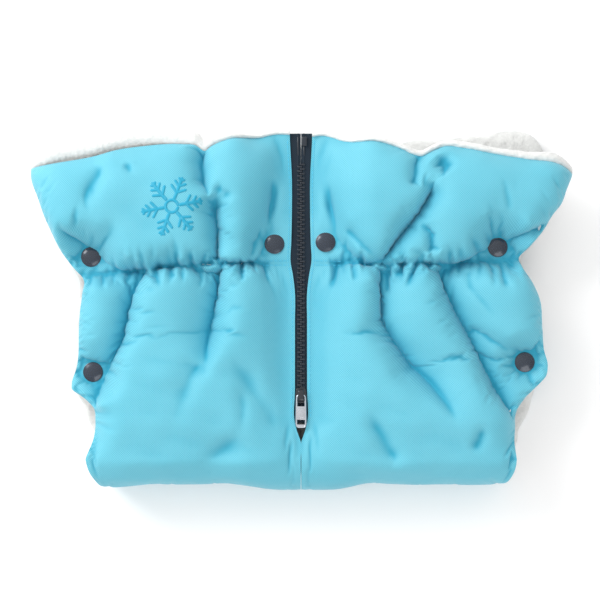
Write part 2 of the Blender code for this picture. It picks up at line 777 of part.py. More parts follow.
def make_slider(hinge):
    """Two plates joined by a wedge, with a crown on top that holds the pull tab."""
    low = CHAIN_MIDDLE - TOOTH_THICKNESS / 2 - SLIDER_CLEARANCE
    high = CHAIN_MIDDLE + TOOTH_THICKNESS / 2 + SLIDER_CLEARANCE
    half = SLIDER_WIDTH / 2
    nose, tail = SLIDER_NOSE, SLIDER_NOSE + SLIDER_LENGTH
    outline = [
        (-half + SLIDER_TAPER, nose),
        (half - SLIDER_TAPER, nose),
        (half, nose + SLIDER_SHOULDER),
        (half - SLIDER_TAPER, tail),
        (-half + SLIDER_TAPER, tail),
        (-half, nose + SLIDER_SHOULDER),
    ]
    plate_top, plate_bottom = high + SLIDER_PLATE, low - SLIDER_PLATE
    body = extruded("zip_slider", outline, plate_bottom, plate_top, MATERIALS["slider"])
    channel = CHAIN_HALF_WIDTH + SLIDER_CLEARANCE
    reach = 2 * SLIDER_WIDTH
    slot_low = CHAIN_MIDDLE - SLIDER_SLOT / 2
    slot_high = CHAIN_MIDDLE + SLIDER_SLOT / 2
    tunnels = {
        "slider_channel": (channel, low, high),
        "slider_slot": (reach, slot_low, slot_high),
    }
    for name, (wide, bottom, top) in tunnels.items():
        across = rectangle(-wide, wide, nose - MM, tail + MM)
        cutter = place_on_zip(extruded(name, across, bottom, top, MATERIALS["cutter"]), hinge)
        boolean(body, helper(cutter))
    wedge = [
        (0, nose),
        (WEDGE_HALF_WIDTH, nose + WEDGE_SHOULDER),
        (0, nose + WEDGE_LENGTH),
        (-WEDGE_HALF_WIDTH, nose + WEDGE_SHOULDER),
    ]
    post = extruded("slider_wedge", wedge, low - EMBED, high + EMBED, MATERIALS["cutter"])
    boolean(body, helper(place_on_zip(post, hinge)), "UNION")
    crown_low = SLIDER_PLACE - CROWN_LENGTH / 2
    crown_high = SLIDER_PLACE + CROWN_LENGTH / 2
    room = TAB_THICKNESS + CROWN_ROOM
    rise = plate_top + room + CROWN_BAR
    crown_outline = [
        (crown_low, plate_top - EMBED),
        (crown_high, plate_top - EMBED),
        (crown_high, rise - CROWN_CORNER),
        (crown_high - CROWN_CORNER, rise),
        (crown_low + CROWN_CORNER, rise),
        (crown_low, rise - CROWN_CORNER),
    ]
    side = CROWN_WIDTH / 2
    crown = extruded("slider_crown", crown_outline, -side, side, MATERIALS["cutter"], axis="X")
    opening = (crown_low + CROWN_LEG, crown_high - CROWN_LEG, plate_top, plate_top + room)
    wide = 2 * side
    window = extruded("crown_window", rectangle(*opening), -wide, wide, MATERIALS["cutter"], "X")
    place_on_zip(helper(crown), hinge)
    place_on_zip(helper(window), hinge)
    boolean(body, crown, "UNION")
    boolean(body, window)
    place_on_zip(body, hinge)
    return plate_top + room / 2


def make_pull_tab(pivot_height, hinge):
    """A framed plate whose top bar turns under the slider's crown. Its origin is on the pivot."""
    half = TAB_WIDTH / 2
    neck = half - TAB_NECK_STEP
    bar = TAB_THICKNESS / 2
    foot = bar - TAB_LENGTH
    plate_outline = [
        (-neck, bar),
        (neck, bar),
        (half, foot + TAB_CORNER),
        (half - TAB_CORNER, foot),
        (-half + TAB_CORNER, foot),
        (-half, foot + TAB_CORNER),
    ]
    thick = TAB_THICKNESS / 2
    tab = extruded("zip_pull_tab", plate_outline, -thick, thick, MATERIALS["tab"])
    eye_half = neck - TAB_FRAME
    eye = rectangle(-eye_half, eye_half, -TAB_EYE_LENGTH, -bar)
    hole_low = foot + TAB_FRAME
    hole = rectangle(-TAB_HOLE[0] / 2, TAB_HOLE[0] / 2, hole_low, hole_low + TAB_HOLE[1])
    pivot = ZIP_FRAME @ Matrix.Translation((0, SLIDER_PLACE, pivot_height))
    for name, outline in (("tab_eye", eye), ("tab_hole", hole)):
        cutter = extruded(name, outline, -3 * thick, 3 * thick, MATERIALS["cutter"])
        cutter.matrix_basis = pivot
        boolean(tab, helper(cutter))
    tab.matrix_basis = pivot
    return tab


# ---- assembly ----

for old in list(bpy.data.objects):
    bpy.data.objects.remove(old)

MATERIALS = {
    "shell": material("shell_cloth", (0.16, 0.63, 0.80), 0.75),
    "fleece": material("fleece", (0.86, 0.85, 0.83), 0.95),
    "wadding": material("polyester_wadding", (0.80, 0.80, 0.80), 0.95),
    "elastic": material("elastic_band", (0.75, 0.75, 0.75), 0.85),
    "tape": material("zip_tape", (0.012, 0.022, 0.055), 0.85),
    "teeth": material("moulded_zip_plastic", (0.010, 0.016, 0.035), 0.35),
    "slider": material("painted_zinc", (0.012, 0.018, 0.035), 0.35),
    "tab": material("nickel_plate", (0.62, 0.62, 0.64), 0.25, 1.0),
    "snap_paint": material("painted_brass_cap", (0.030, 0.036, 0.055), 0.30, 0.6),
    "snap_metal": material("nickel_plated_brass", (0.55, 0.55, 0.56), 0.30, 1.0),
    "cutter": material("helper", (0.5, 0.5, 0.5), 0.5),
}

hinges = {
    side: empty(f"front_{SIDE_NAMES[side]}_hinge", (0, AXIS_Y, FOLD_RADIUS)) for side in SNAPS
}
hole_cutters = make_hole_cutters()
make_back(hole_cutters)
for half_side, hinge_empty in hinges.items():
    make_front_half(half_side, hinge_empty, hole_cutters)
    make_fold(half_side)
    make_zip_half(half_side, hinge_empty)
    for snap_kind in SNAPS[half_side]:
        make_snap(half_side, snap_kind, hinge_empty)
tab_pivot = make_slider(hinges[RIGHT])
make_pull_tab(tab_pivot, hinges[RIGHT])
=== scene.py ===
import json
import math

import bmesh
import bpy
import numpy as np
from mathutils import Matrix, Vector


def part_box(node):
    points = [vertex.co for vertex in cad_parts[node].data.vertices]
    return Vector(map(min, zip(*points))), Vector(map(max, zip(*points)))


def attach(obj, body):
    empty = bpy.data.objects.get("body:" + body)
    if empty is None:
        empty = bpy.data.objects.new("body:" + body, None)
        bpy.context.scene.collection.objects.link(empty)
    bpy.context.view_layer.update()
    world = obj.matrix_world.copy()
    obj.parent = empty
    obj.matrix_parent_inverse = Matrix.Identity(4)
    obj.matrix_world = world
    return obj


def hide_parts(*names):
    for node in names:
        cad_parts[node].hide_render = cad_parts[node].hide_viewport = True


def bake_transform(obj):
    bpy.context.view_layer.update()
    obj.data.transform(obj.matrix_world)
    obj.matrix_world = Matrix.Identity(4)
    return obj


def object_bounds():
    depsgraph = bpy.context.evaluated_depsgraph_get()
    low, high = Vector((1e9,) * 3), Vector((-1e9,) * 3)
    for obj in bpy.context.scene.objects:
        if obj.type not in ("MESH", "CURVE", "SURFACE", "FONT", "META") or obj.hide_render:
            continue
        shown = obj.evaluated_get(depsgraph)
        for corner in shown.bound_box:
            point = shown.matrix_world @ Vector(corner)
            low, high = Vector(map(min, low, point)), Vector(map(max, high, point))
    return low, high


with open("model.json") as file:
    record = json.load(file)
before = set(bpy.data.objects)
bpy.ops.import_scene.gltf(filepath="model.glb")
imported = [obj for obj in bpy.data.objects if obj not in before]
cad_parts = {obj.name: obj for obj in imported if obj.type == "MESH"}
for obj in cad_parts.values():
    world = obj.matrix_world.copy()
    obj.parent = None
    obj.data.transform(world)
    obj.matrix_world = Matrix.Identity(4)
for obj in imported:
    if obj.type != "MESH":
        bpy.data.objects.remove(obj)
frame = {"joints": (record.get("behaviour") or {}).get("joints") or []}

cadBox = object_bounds()

# Padded hand muff for a pushchair handle. Lengths are in millimetres, in the frame's axes.
mm = 0.001
sides = {"left": -1, "right": 1}
joints = {joint["name"]: joint for joint in frame["joints"]}
foldY, foldRadius = np.array(joints["front_left_fold"]["pos_m"][1:]) / mm
zipAxis = np.array(joints["zip_slide"]["axis"])
tabPivot = np.array(joints["pull_tab_swing"]["pos_m"]) / mm
foldLength = math.pi * foldRadius


def boxMm(node):
    # lowest and highest corner of a node of the frame
    low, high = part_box(node)
    return np.array(low) / mm, np.array(high) / mm


# from the cloth's face down to the socket's middle, and through to the back's face
stack = {"socketMiddle": 5.55, "seatDepth": 12.2}
tilted = np.array([0, -zipAxis[2], zipAxis[1]])
upward = {(side, kind): tilted if kind == "inner" else np.array([0, 0, 1.0])
          for side in sides for kind in ("inner", "outer", "side")}
snaps = {key: sum(boxMm("snap_cap_%s_%s" % key)) / 2 for key in upward}
seats = {key: sum(boxMm("snap_socket_%s_%s" % key)) / 2 + stack["socketMiddle"] * up for key, up in upward.items()}
seatHeights = {key: seat[2] for key, seat in seats.items()}
backSeats = {key: seat[2] - stack["seatDepth"] * upward[key][2] for key, seat in seats.items()}
zipSlope = -zipAxis[2] / zipAxis[1]


def ramp(value, low, high):
    # 0 below low, 1 above high, 3q^2 - 2q^3 between them
    share = np.clip((value - low) / (high - low), 0, 1)
    return share * share * (3 - 2 * share)


def quarter(share):
    # height of a quarter round at a share of its width: sqrt(1 - (1 - share)^2)
    return np.sqrt(1 - (1 - share) ** 2)


def smoothLine(value, places, sizes):
    # cubic Hermite line through (place, size), with each slope taken from the two neighbours
    places = np.asarray(places, float)
    sizes = np.asarray(sizes, float)
    slopes = np.gradient(sizes, places)
    value = np.clip(value, places[0], places[-1])
    index = np.clip(np.searchsorted(places, value) - 1, 0, len(places) - 2)
    step = places[index + 1] - places[index]
    q = (value - places[index]) / step
    start, end = sizes[index], sizes[index + 1]
    ease = q * q * (3 - 2 * q)
    bend = q * (1 - q) ** 2 * slopes[index] - q * q * (1 - q) * slopes[index + 1]
    return start + (end - start) * ease + bend * step


def alongX(points, x):
    # y of a line of (x, y) points
    return smoothLine(x, *zip(*points))


def alongY(points, y):
    # x of a line of (x, y) points
    return smoothLine(y, *list(zip(*points))[::-1])


def stacked(*parts):
    # the parts side by side in a new last axis
    return np.stack(np.broadcast_arrays(*parts), axis=-1)


def circle(count):
    # angles once round, evenly spaced
    return np.linspace(0, math.tau, count, endpoint=False)


def ripple(x, y, seed, length, count=7):
    # sum of plane waves with lengths near the given one, in directions and phases drawn from the seed
    draw = np.random.default_rng(seed)
    total = np.zeros(np.broadcast(x, y).shape)
    for angle, phase, scale in draw.uniform((0, 0, 0.7), (math.pi, math.tau, 1.5), (count, 3)):
        total += np.sin(math.tau * (x * math.cos(angle) + y * math.sin(angle)) / (length * scale) + phase)
    return total / math.sqrt(count)


fleeceCurls = {"long": (5.5, 9), "short": (3.1, 9)}  # wave length and number of waves


def curls(x, y, seed, pile=0.5):
    # pile of fleece: a ripple of longer curls and 0.7 of a ripple of shorter ones
    return pile * (ripple(x, y, seed, *fleeceCurls["long"]) + 0.7 * ripple(x, y, seed + 1, *fleeceCurls["short"]))


outline = {
    "clothSide": {
        "left": [
            (-160, -111), (-154.5, -96), (-153.5, -83), (-155, -74), (-165.8, -64), (-171, -60.5), (-171.8, -56),
            (-168.5, -44), (-166.5, -30), (-166, -15), (-165, 0), (-163.5, 12), (-163, 22), (-170.5, 31),
            (-178.5, 42), (-185.5, 56), (-190.5, 67), (-196.8, 84), (-201.8, 97), (-203, 106),
        ],
        "right": [
            (160, -111), (158.8, -100), (159.8, -88), (160.5, -78.5), (167, -67), (178, -56), (183, -50.5),
            (184.8, -43), (181.8, -29), (180.2, -13), (178.5, 7), (173, 20), (165.5, 32), (163.5, 38.5),
            (171, 47), (180, 57.5), (187.5, 70), (194.3, 79), (198.5, 90), (204, 101.5),
        ],
    },
    "clothTop": {
        "left": [
            (-204, 105.5), (-182.3, 109.3), (-153.8, 114.4), (-138.8, 118.7), (-117.8, 121.9), (-88.5, 123.4),
            (-77.5, 122), (-72, 118.2), (-67, 121.8), (-55.5, 127), (-31.5, 130), (-20.3, 133.6), (-5, 134),
        ],
        "right": [
            (5, 132), (15.8, 133.3), (34.5, 127.3), (57.8, 125.6), (75.8, 119.6), (84, 115.8), (90, 114.6),
            (97, 118), (106.5, 121.9), (122.3, 120.6), (144.8, 116), (168, 112.2), (198.8, 105.5), (205, 101),
        ],
    },
    "fleeceRise": {  # how far the lining's roll stands beyond the cloth's top edge
        "left": [
            (-205, 3), (-199, 8.5), (-190, 10), (-165, 11.5), (-141, 11), (-107, 9.5), (-88, 7), (-72, 7.5),
            (-55, 3.5), (-31, 1.5), (-5, 0.5),
        ],
        "right": [(5, 0.5), (60, 1), (90, 2), (120, 2.5), (168, 3.5), (190, 5), (205, 3)],
    },
    "zipEdge": [
        (-111, 0.2), (-98, 0.25), (-90, 3.0), (-84, 4.5), (-60, 4.5), (-10, 4.5), (14, 4.6), (26, 6.0), (36, 7.7),
        (50, 7.2), (75, 6.7), (100, 6.8), (120, 7.8), (136, 8.6),
    ],
    "waist": {  # the elastic's row of stitches
        "left": [(-175, 24), (-150, 26.5), (-106, 31), (-56, 34.6), (-19, 34.8), (0, 34.8)],
        "right": [
            (0, 34.8), (20, 34.8), (43.5, 34), (59, 32.5), (82, 34.8), (108, 34.4), (133, 36.2), (160, 37.8), (175, 38),
        ],
    },
    "backSide": {
        "left": [
            (-158, -111), (-154, -99), (-158.5, -90), (-162.5, -82), (-164, -74), (-171, -60), (-172.5, -45),
            (-172, -16), (-170, 0), (-168.5, 12), (-167, 23), (-172, 32), (-178, 50), (-186, 80), (-190, 108),
        ],
        "right": [
            (162, -111), (164.5, -100), (165, -93), (172, -80), (175.5, -66), (177, -50), (178, -28),
            (178, 0), (174, 18), (166, 34), (166, 48), (172, 70), (178, 95), (184, 120),
        ],
    },
    "backTop": {
        "left": [(-192, 106), (-150, 112), (-100, 118), (-50, 123), (0, 125)],
        "right": [
            (0, 125), (60, 122.5), (74.3, 124.5), (82.5, 127), (106.5, 128), (122.3, 130), (144.8, 133), (156, 134.8),
            (168, 134), (177, 130), (183, 122), (185, 118),
        ],
    },
}


def zipEdge(side, y):
    # x of the cloth's edge beside the zip
    return sides[side] * alongX(outline["zipEdge"], y)


# Each crease: depth, how fast the cloth comes back on the near and far side, the lip that the near side pushes over
# it, the share of its length that fades in and out, and its line. Near is the side towards the zip.
creases = {
    "left": [
        (16, 4.2, 19, 2.6, 0.06, 0.25, [(-113, 31), (-123.5, 15), (-128.5, -3), (-132.5, -23), (-142, -41),
                                        (-147.5, -54), (-153, -68), (-154.5, -84)]),
        (15, 4.0, 19, 2.4, 0.05, 0.5, [(-59, 31), (-61.5, 14), (-65, -5), (-69, -25), (-72.5, -42), (-74, -54)]),
        (3.6, 8, 12, 0, 0.15, 0.8, [(-74, -36), (-82, -50), (-88, -64), (-94, -80), (-98, -94)]),
        (3.4, 9, 10, 0, 0.4, 0.6, [(-61, -25), (-53, -38), (-44, -50), (-33, -68), (-22, -86), (-13, -103)]),
        (1.5, 5, 5, 0, 0.45, 0.45, [(-47, -54), (-45, -72), (-46, -94)]),
        (3.4, 8, 13, 0, 0.45, 0.5, [(-40, -84), (-50, -96), (-60, -105), (-72, -113), (-84, -118)]),
        (8, 4, 7, 2, 0.02, 0.35, [(-72, 122), (-73, 108), (-71.5, 92), (-69.5, 82)]),
        (9.5, 4.2, 6, 1.5, 0.25, 0.05, [(-68, 86), (-64, 76), (-62, 60), (-61.5, 46), (-62.5, 36)]),
        (3, 4, 5, 0, 0.3, 0.5, [(-66, 90), (-58, 86), (-51, 79)]),
        (4.2, 8, 9, 0, 0.35, 0.4, [(-143, 112), (-150, 98), (-158, 84), (-164, 74)]),
        (2.4, 6, 6, 0, 0.5, 0.5, [(-124, 108), (-132, 100)]),
        (2.6, 5, 6, 0, 0.4, 0.2, [(-142, 68), (-139, 52), (-133, 36)]),
        (5, 7, 7, 0, 0.35, 0.3, [(-20, 98), (-22, 84), (-25, 70), (-27, 60)]),
        (4, 4, 6, 0, 0.3, 0.2, [(-30, 62), (-37, 50), (-40, 38)]),
        (7, 3.4, 10, 2.2, 0.2, 0.2, [(-181, 62), (-168, 54), (-156, 45), (-145, 35), (-133, 29.5), (-118, 31)]),
    ],
    "right": [
        (14, 4.2, 18, 2.2, 0.04, 0.45, [(59, 33), (58.5, 12), (59.5, -8), (68, -23), (81, -41), (95, -54),
                                        (108, -69), (120, -88)]),
        (16, 4.2, 18, 2.6, 0.04, 0.25, [(100.5, 32), (108, 12.5), (115.5, -3.5), (123.8, -18.5), (133.5, -38),
                                        (144, -59), (155.5, -78), (161, -90)]),
        (3.6, 7, 8, 0, 0.35, 0.3, [(50, -71), (57, -85), (66, -101), (76, -117)]),
        (3, 5, 5, 0, 0.4, 0.4, [(134, -82), (131, -94), (126, -106)]),
        (2.2, 5, 4, 0, 0.5, 0.3, [(45, -14), (57, -17), (66, -26)]),
        (4.5, 6, 8, 0, 0.2, 0.3, [(121, -12), (135, -17), (150, -27), (160, -33)]),
        (2.6, 5, 5, 0, 0.2, 0.3, [(129, -32), (142, -37), (154, -38)]),
        (2.6, 3, 5, 0, 0.1, 0.5, [(124, 30), (128, 16), (138, 4), (148, -10)]),
        (2.4, 3, 4, 0, 0.1, 0.5, [(143, 31), (150, 21), (158, 12)]),
        (5, 6, 4, 1, 0.02, 0.3, [(90, 118), (85, 106), (84, 94), (90, 88)]),
        (10.5, 4.2, 6, 2.4, 0.12, 0.02, [(99, 93), (93, 82), (87, 72), (76, 58), (68, 48), (61, 38), (59, 33)]),
        (6, 8, 7, 0, 0.4, 0.4, [(101, 113), (106, 106), (111, 98)]),
        (5.5, 4, 6, 0, 0.3, 0.05, [(18.5, 97), (22, 80), (25, 66), (27, 54), (35, 44), (46, 37), (57, 33)]),
        (4.2, 3, 6, 0, 0.25, 0.05, [(33, 64), (42, 54), (51, 44), (57, 35)]),
        (4.2, 4, 5, 0, 0.3, 0.15, [(93, 66), (96, 55), (97, 42)]),
        (7.5, 3.4, 10, 2.2, 0.12, 0.2, [(186, 66), (172, 60), (156, 53), (140, 46), (124, 38), (113, 34), (102, 35)]),
    ],
}
gathers = {"spacing": 6.2, "depth": 5.6, "width": 2.0, "below": 19, "above": 10, "firstX": 24, "lastX": 165,
           "grooveDepth": 4.2, "grooveWidth": 3.6, "grooveFrom": (15, 42), "seeds": {"left": 11, "right": 23}}
# shadeNear, shadeFar, shadeFrom and shadeFull size the painted shade beside each crease, which darkens the cloth's
# colour
creaseLook = {"coreWidth": 1.9, "coreDepth": 9, "shadeNear": 2.0, "shadeFar": 8.5, "shadeFrom": 4, "shadeFull": 9,
              "deepest": 22, "fromZip": (13.5, 24)}


def gatherCreases(side):
    # short slanted creases on both sides of the elastic, with places and lengths drawn from a seed
    draw = np.random.default_rng(gathers["seeds"][side])
    made, place = [], gathers["firstX"]
    while place < gathers["lastX"]:
        for up, reach in ((1, gathers["above"]), (-1, gathers["below"])):
            length = reach * draw.uniform(0.45, 1.35)
            slant = draw.uniform(-0.35, 0.35) * length
            x = sides[side] * (place + draw.uniform(-2.2, 2.2))
            base = float(alongX(outline["waist"][side], np.array(x)))
            line = [(x, base - up * 1.5), (x + slant * 0.4, base + up * length * 0.5), (x + slant, base + up * length)]
            near = gathers["width"] * draw.uniform(0.7, 1.3)
            depth = gathers["depth"] * draw.uniform(0.35, 1.25)
            made.append((depth, near, near * draw.uniform(1.0, 2.2), 0, 0.12, 0.75, line))
        place += gathers["spacing"] * draw.uniform(0.6, 1.4)
    return made


def creaseShift(x, y, side, crease):
    # distance d to the nearest stretch of the line; sinks by depth * exp(-(d/near)^2) on the near side and by
    # depth * exp(-(d/far)^1.3) on the far side; the near side moves over the line by lip * exp(-((d-near)/near)^2)
    depth, near, far, lip, fadeIn, fadeOut, line = crease
    (ax, ay), (bx, by) = line[0], line[-1]
    # a line that runs across has its near side above it
    towards = (-sides[side], 0) if abs(by - ay) > abs(bx - ax) * 0.9 else (0, 1)
    nearSign = 1 if (bx - ax) * towards[1] - (by - ay) * towards[0] > 0 else -1
    points = np.array(line, float)
    start, run = points[:-1], np.diff(points, axis=0)
    length = np.hypot(run[:, 0], run[:, 1])
    before = np.concatenate(([0], np.cumsum(length)[:-1]))
    reach = 3.2 * max(near, far)
    low, high = points.min(axis=0) - reach, points.max(axis=0) + reach
    close = (x > low[0]) & (x < high[0]) & (y > low[1]) & (y < high[1])
    px, py = x[close][:, None], y[close][:, None]
    q = ((px - start[:, 0]) * run[:, 0] + (py - start[:, 1]) * run[:, 1]) / length**2
    q = np.clip(q, 0, 1)
    offX, offY = px - start[:, 0] - q * run[:, 0], py - start[:, 1] - q * run[:, 1]
    away = np.hypot(offX, offY)
    best = away.argmin(axis=1)
    row = np.arange(len(best))
    distance, offX, offY = away[row, best], offX[row, best], offY[row, best]
    along = (before[best] + q[row, best] * length[best]) / length.sum()
    isNear = (run[best, 0] * offY - run[best, 1] * offX) * nearSign > 0
    share = ramp(along, -0.001, fadeIn) * ramp(1 - along, -0.001, fadeOut)
    dip = np.where(isNear, np.exp(-((distance / near) ** 2)), np.exp(-((distance / far) ** 1.3)))
    push = -lip * share * np.exp(-(((distance - near) / near) ** 2)) * isNear / np.maximum(distance, 0.4)
    core = share * np.exp(-((distance / creaseLook["coreWidth"]) ** 2)) * min(1, depth / creaseLook["coreDepth"])
    # shade is painted shade for the cloth's colour: narrow on the near side, wide on the far side, and only beside
    # creases deeper than shadeFrom
    reach = np.where(isNear, creaseLook["shadeNear"], creaseLook["shadeFar"])
    shade = share * np.exp(-((distance / reach) ** 2))
    shade = shade * max(0, min(1, (depth - creaseLook["shadeFrom"]) / creaseLook["shadeFull"]))
    made = np.zeros((5, *x.shape))
    made[:, close] = -depth * share * dip, push * offX, push * offY, core, shade
    return made


for sideName in sides:
    creases[sideName] += gatherCreases(sideName)

frontShape = {"bellyRise": 5, "collarDrop": 8, "sideRoll": 24, "sideDrop": 17, "topRoll": 15, "topDrop": 8,
              "pinchIn": 8.5, "pinchOut": 27, "gridStep": 2.0, "table": 0.3, "collar": (80, 135), "besideZip": (13, 56),
              "foldEase": 30, "rollEase": 25, "waves": ((1.1, 5, 62), (0.3, 8, 21)), "foldTuck": 9, "foldSink": 2.6}
# a collar's height is a first guess that is corrected a number of times
startTop, corrections = 120.0, 12


def zipHeight(y):
    # the zip's face falls in a straight line from the studs beside it
    return seatHeights["left", "inner"] - (y - snaps["left", "inner"][1]) * zipSlope


def frontHeight(side, x, y, edgeAway, topAway):
    # belly, then collar, then level with the zip near it; quarter rounds at the free edges
    z = 2 * foldRadius + frontShape["bellyRise"] * ramp(y, foldY, foldY + frontShape["foldEase"])
    z = z - frontShape["collarDrop"] * ramp(y, *frontShape["collar"])
    for size, seed, length in frontShape["waves"]:
        z = z + size * ripple(x, y, seed, length)
    z = z + (zipHeight(y) - z) * (1 - ramp(np.abs(x), *frontShape["besideZip"]))
    roll = 1 - quarter(np.clip(edgeAway / frontShape["sideRoll"], 0.015, 1))
    z = z - frontShape["sideDrop"] * roll * ramp(y, foldY, foldY + frontShape["rollEase"])
    roll = 1 - quarter(np.clip(topAway / frontShape["topRoll"], 0.015, 1))
    return z - frontShape["topDrop"] * roll * ramp(np.abs(x), 8, 40)


def pinch(side, x, y, z, heights, reachIn, reachOut):
    # draws z to its size at each press stud: all of the way inside reachIn, none outside reachOut
    for (snapSide, kind), spot in snaps.items():
        if snapSide == side:
            away = np.hypot(x - spot[0], y - spot[1])
            z = z + (heights[snapSide, kind] - z) * (1 - ramp(away, reachIn, reachOut))
    return z


def sheetGrid(side, step):
    # s runs from the zip to the side edge; rows run up the unrolled cloth: half the fold's ring, then the front
    edgePoints, topPoints = outline["clothSide"][side], outline["clothTop"][side]
    columns = int(cadBox[1][0] / mm * 0.85 / step)
    s = np.linspace(0, 1, columns)[None, :]
    top = np.full((1, columns), startTop)
    for _ in range(corrections):
        inner, outer = zipEdge(side, top), alongY(edgePoints, top)
        top = 0.5 * top + 0.5 * alongX(topPoints, inner + s * (outer - inner))
    foldRows = int(foldLength / step)
    frontRows = int((cadBox[1][1] / mm - foldY) / step)
    angle = np.linspace(math.pi, 0, foldRows)[:, None]
    t = np.linspace(0, 1, frontRows + 1)[1:, None]
    y = np.concatenate([foldY - foldRadius * angle + 0 * top, foldY + (top - foldY) * t])
    angle = np.concatenate([angle, 0 * t])
    inner, outer = zipEdge(side, y), alongY(edgePoints, y)
    backEnd = alongY(outline["backSide"][side], foldY)
    outer = outer + (backEnd - outer) * angle / math.pi - sides[side] * frontShape["foldTuck"] * np.sin(angle) ** 2
    x = inner + s * (outer - inner)
    return {"x": x, "y": y, "angle": angle, "edge": np.abs(outer - x), "top": top - y, "foldRows": foldRows}


def creasedSheet(side):
    # the outer face before it is inflated: base height, creases, the elastic's groove, the pinches at the studs
    grid = sheetGrid(side, frontShape["gridStep"])
    x, y, angle = grid["x"], grid["y"], grid["angle"]
    z = frontHeight(side, x, y, grid["edge"], grid["top"])
    away = y - alongX(outline["waist"][side], x)
    groove = np.exp(-np.abs(away / gathers["grooveWidth"]) ** 1.5) * ramp(np.abs(x), *gathers["grooveFrom"])
    z = z - gathers["grooveDepth"] * groove
    moved, marks = np.zeros((3, *x.shape)), np.zeros((2, *x.shape))
    for crease in creases[side]:
        made = creaseShift(x, y, side, crease)
        moved += made[:3]
        marks = np.maximum(marks, made[3:])
    dip = -creaseLook["deepest"] * np.tanh(-1.5 * moved[0] / creaseLook["deepest"])
    free = ramp(np.abs(x), *creaseLook["fromZip"])
    hold = ramp(grid["edge"], 0, 6) * ramp(grid["top"], -1, 5) * free
    z = z + dip * np.maximum(hold, 0.35 * ramp(grid["top"], -1, 2) * free)
    # core marks the crease lines; shade is the painted crease shade, kept for the cloth's colour
    grid["core"], grid["shade"] = marks[0], marks[1] * hold
    x = x + moved[1] * hold
    y = y + moved[2] * hold * ramp(y, foldY, foldY + 14)
    z = pinch(side, x, y, z, seatHeights, frontShape["pinchIn"], frontShape["pinchOut"])
    r = z - foldRadius - frontShape["foldSink"] * np.sin(angle) ** 2
    return stacked(x, np.maximum(y, foldY) - r * np.sin(angle), foldRadius + r * np.cos(angle)), grid


def refine(grid):
    # twice as fine: each new point is (9 (b + c) - (a + d)) / 16 of its four neighbours in a line
    for axis in (0, 1):
        grid = np.moveaxis(grid, axis, 0)
        padded = np.concatenate([2 * grid[:1] - grid[1:2], grid, 2 * grid[-1:] - grid[-2:-1]])
        between = (9 * (padded[1:-2] + padded[2:-1]) - (padded[:-3] + padded[3:])) / 16
        made = np.empty((2 * len(grid) - 1, *grid.shape[1:]))
        made[::2], made[1::2] = grid, between
        grid = np.moveaxis(made, 0, axis)
    return grid


def bilinear(grid, rows, columns):
    # the grid read at evenly spaced places, straight between its points
    u = np.linspace(0, grid.shape[0] - 1, rows)
    v = np.linspace(0, grid.shape[1] - 1, columns)
    i = np.minimum(u.astype(int), grid.shape[0] - 2)
    j = np.minimum(v.astype(int), grid.shape[1] - 2)
    p, q = (u - i)[:, None, None], (v - j)[None, :, None]
    low = grid[i][:, j] * (1 - q) + grid[i][:, j + 1] * q
    high = grid[i + 1][:, j] * (1 - q) + grid[i + 1][:, j + 1] * q
    return low * (1 - p) + high * p


def softened(field, times):
    # repeated mean of each point, counted twice, and its four neighbours
    for _ in range(times):
        around = np.pad(field, ((1, 1), (1, 1)) + ((0, 0),) * (field.ndim - 2), mode="edge")
        field = around[1:-1, 1:-1] * 2 + around[2:, 1:-1] + around[:-2, 1:-1] + around[1:-1, 2:] + around[1:-1, :-2]
        field = field / 6
    return field


def faceGrid(rows, columns):
    # quads of a grid whose points run row by row
    corner = np.arange((rows - 1) * columns).reshape(rows - 1, columns)[:, :-1].ravel()
    return stacked(corner, corner + 1, corner + columns + 1, corner + columns)


def ringQuads(rows, columns, closed=False):
    # quads between rings of points; closed joins the last ring to the first
    start = np.arange(rows * columns).reshape(rows, columns)
    start, end = (start, np.roll(start, -1, axis=0)) if closed else (start[:-1], start[1:])
    return stacked(start, np.roll(start, -1, axis=1), np.roll(end, -1, axis=1), end).reshape(-1, 4)


def place(name, mesh, sharp):
    # the mesh as an object, smooth apart from edges that turn by more than the sharp angle in degrees
    mesh.shade_smooth()
    mesh.set_sharp_from_angle(angle=math.radians(sharp))
    piece = bpy.data.objects.new(name, mesh)
    bpy.context.scene.collection.objects.link(piece)
    return piece


def meshPiece(name, points, faces, uv=None, sharp=50, sizes=None):
    # fills a mesh from whole arrays in mm; sizes holds the faces' corner counts where they differ
    mesh = bpy.data.meshes.new(name)
    corners = faces.astype(np.int32).ravel()
    sizes = np.full(len(faces), faces.shape[-1]) if sizes is None else sizes
    mesh.vertices.add(points.size // 3)
    mesh.vertices.foreach_set("co", (points * mm).astype(np.float32).ravel())
    mesh.loops.add(len(corners))
    mesh.loops.foreach_set("vertex_index", corners)
    mesh.polygons.add(len(sizes))
    mesh.polygons.foreach_set("loop_start", (np.cumsum(sizes) - sizes).astype(np.int32))
    mesh.update(calc_edges=True)
    if uv is not None:
        layer = mesh.uv_layers.new(name="cloth")
        layer.data.foreach_set("uv", (uv[corners] * mm).astype(np.float32).ravel())
    mesh.validate()
    return place(name, mesh, sharp)


def reshaped(piece, weld):
    # weld joins points that fall together, otherwise open rings are filled; both turn every face outwards
    shape = bmesh.new()
    shape.from_mesh(piece.data)
    if weld:
        bmesh.ops.remove_doubles(shape, verts=shape.verts, dist=1e-6)
        bmesh.ops.dissolve_degenerate(shape, edges=shape.edges, dist=1e-7)
    else:
        bmesh.ops.holes_fill(shape, edges=[edge for edge in shape.edges if edge.is_boundary], sides=0)
    bmesh.ops.recalc_face_normals(shape, faces=shape.faces)
    shape.to_mesh(piece.data)
    shape.free()
    if weld:
        piece.data.shade_smooth()
        piece.data.set_sharp_from_angle(angle=math.radians(38))
    return piece


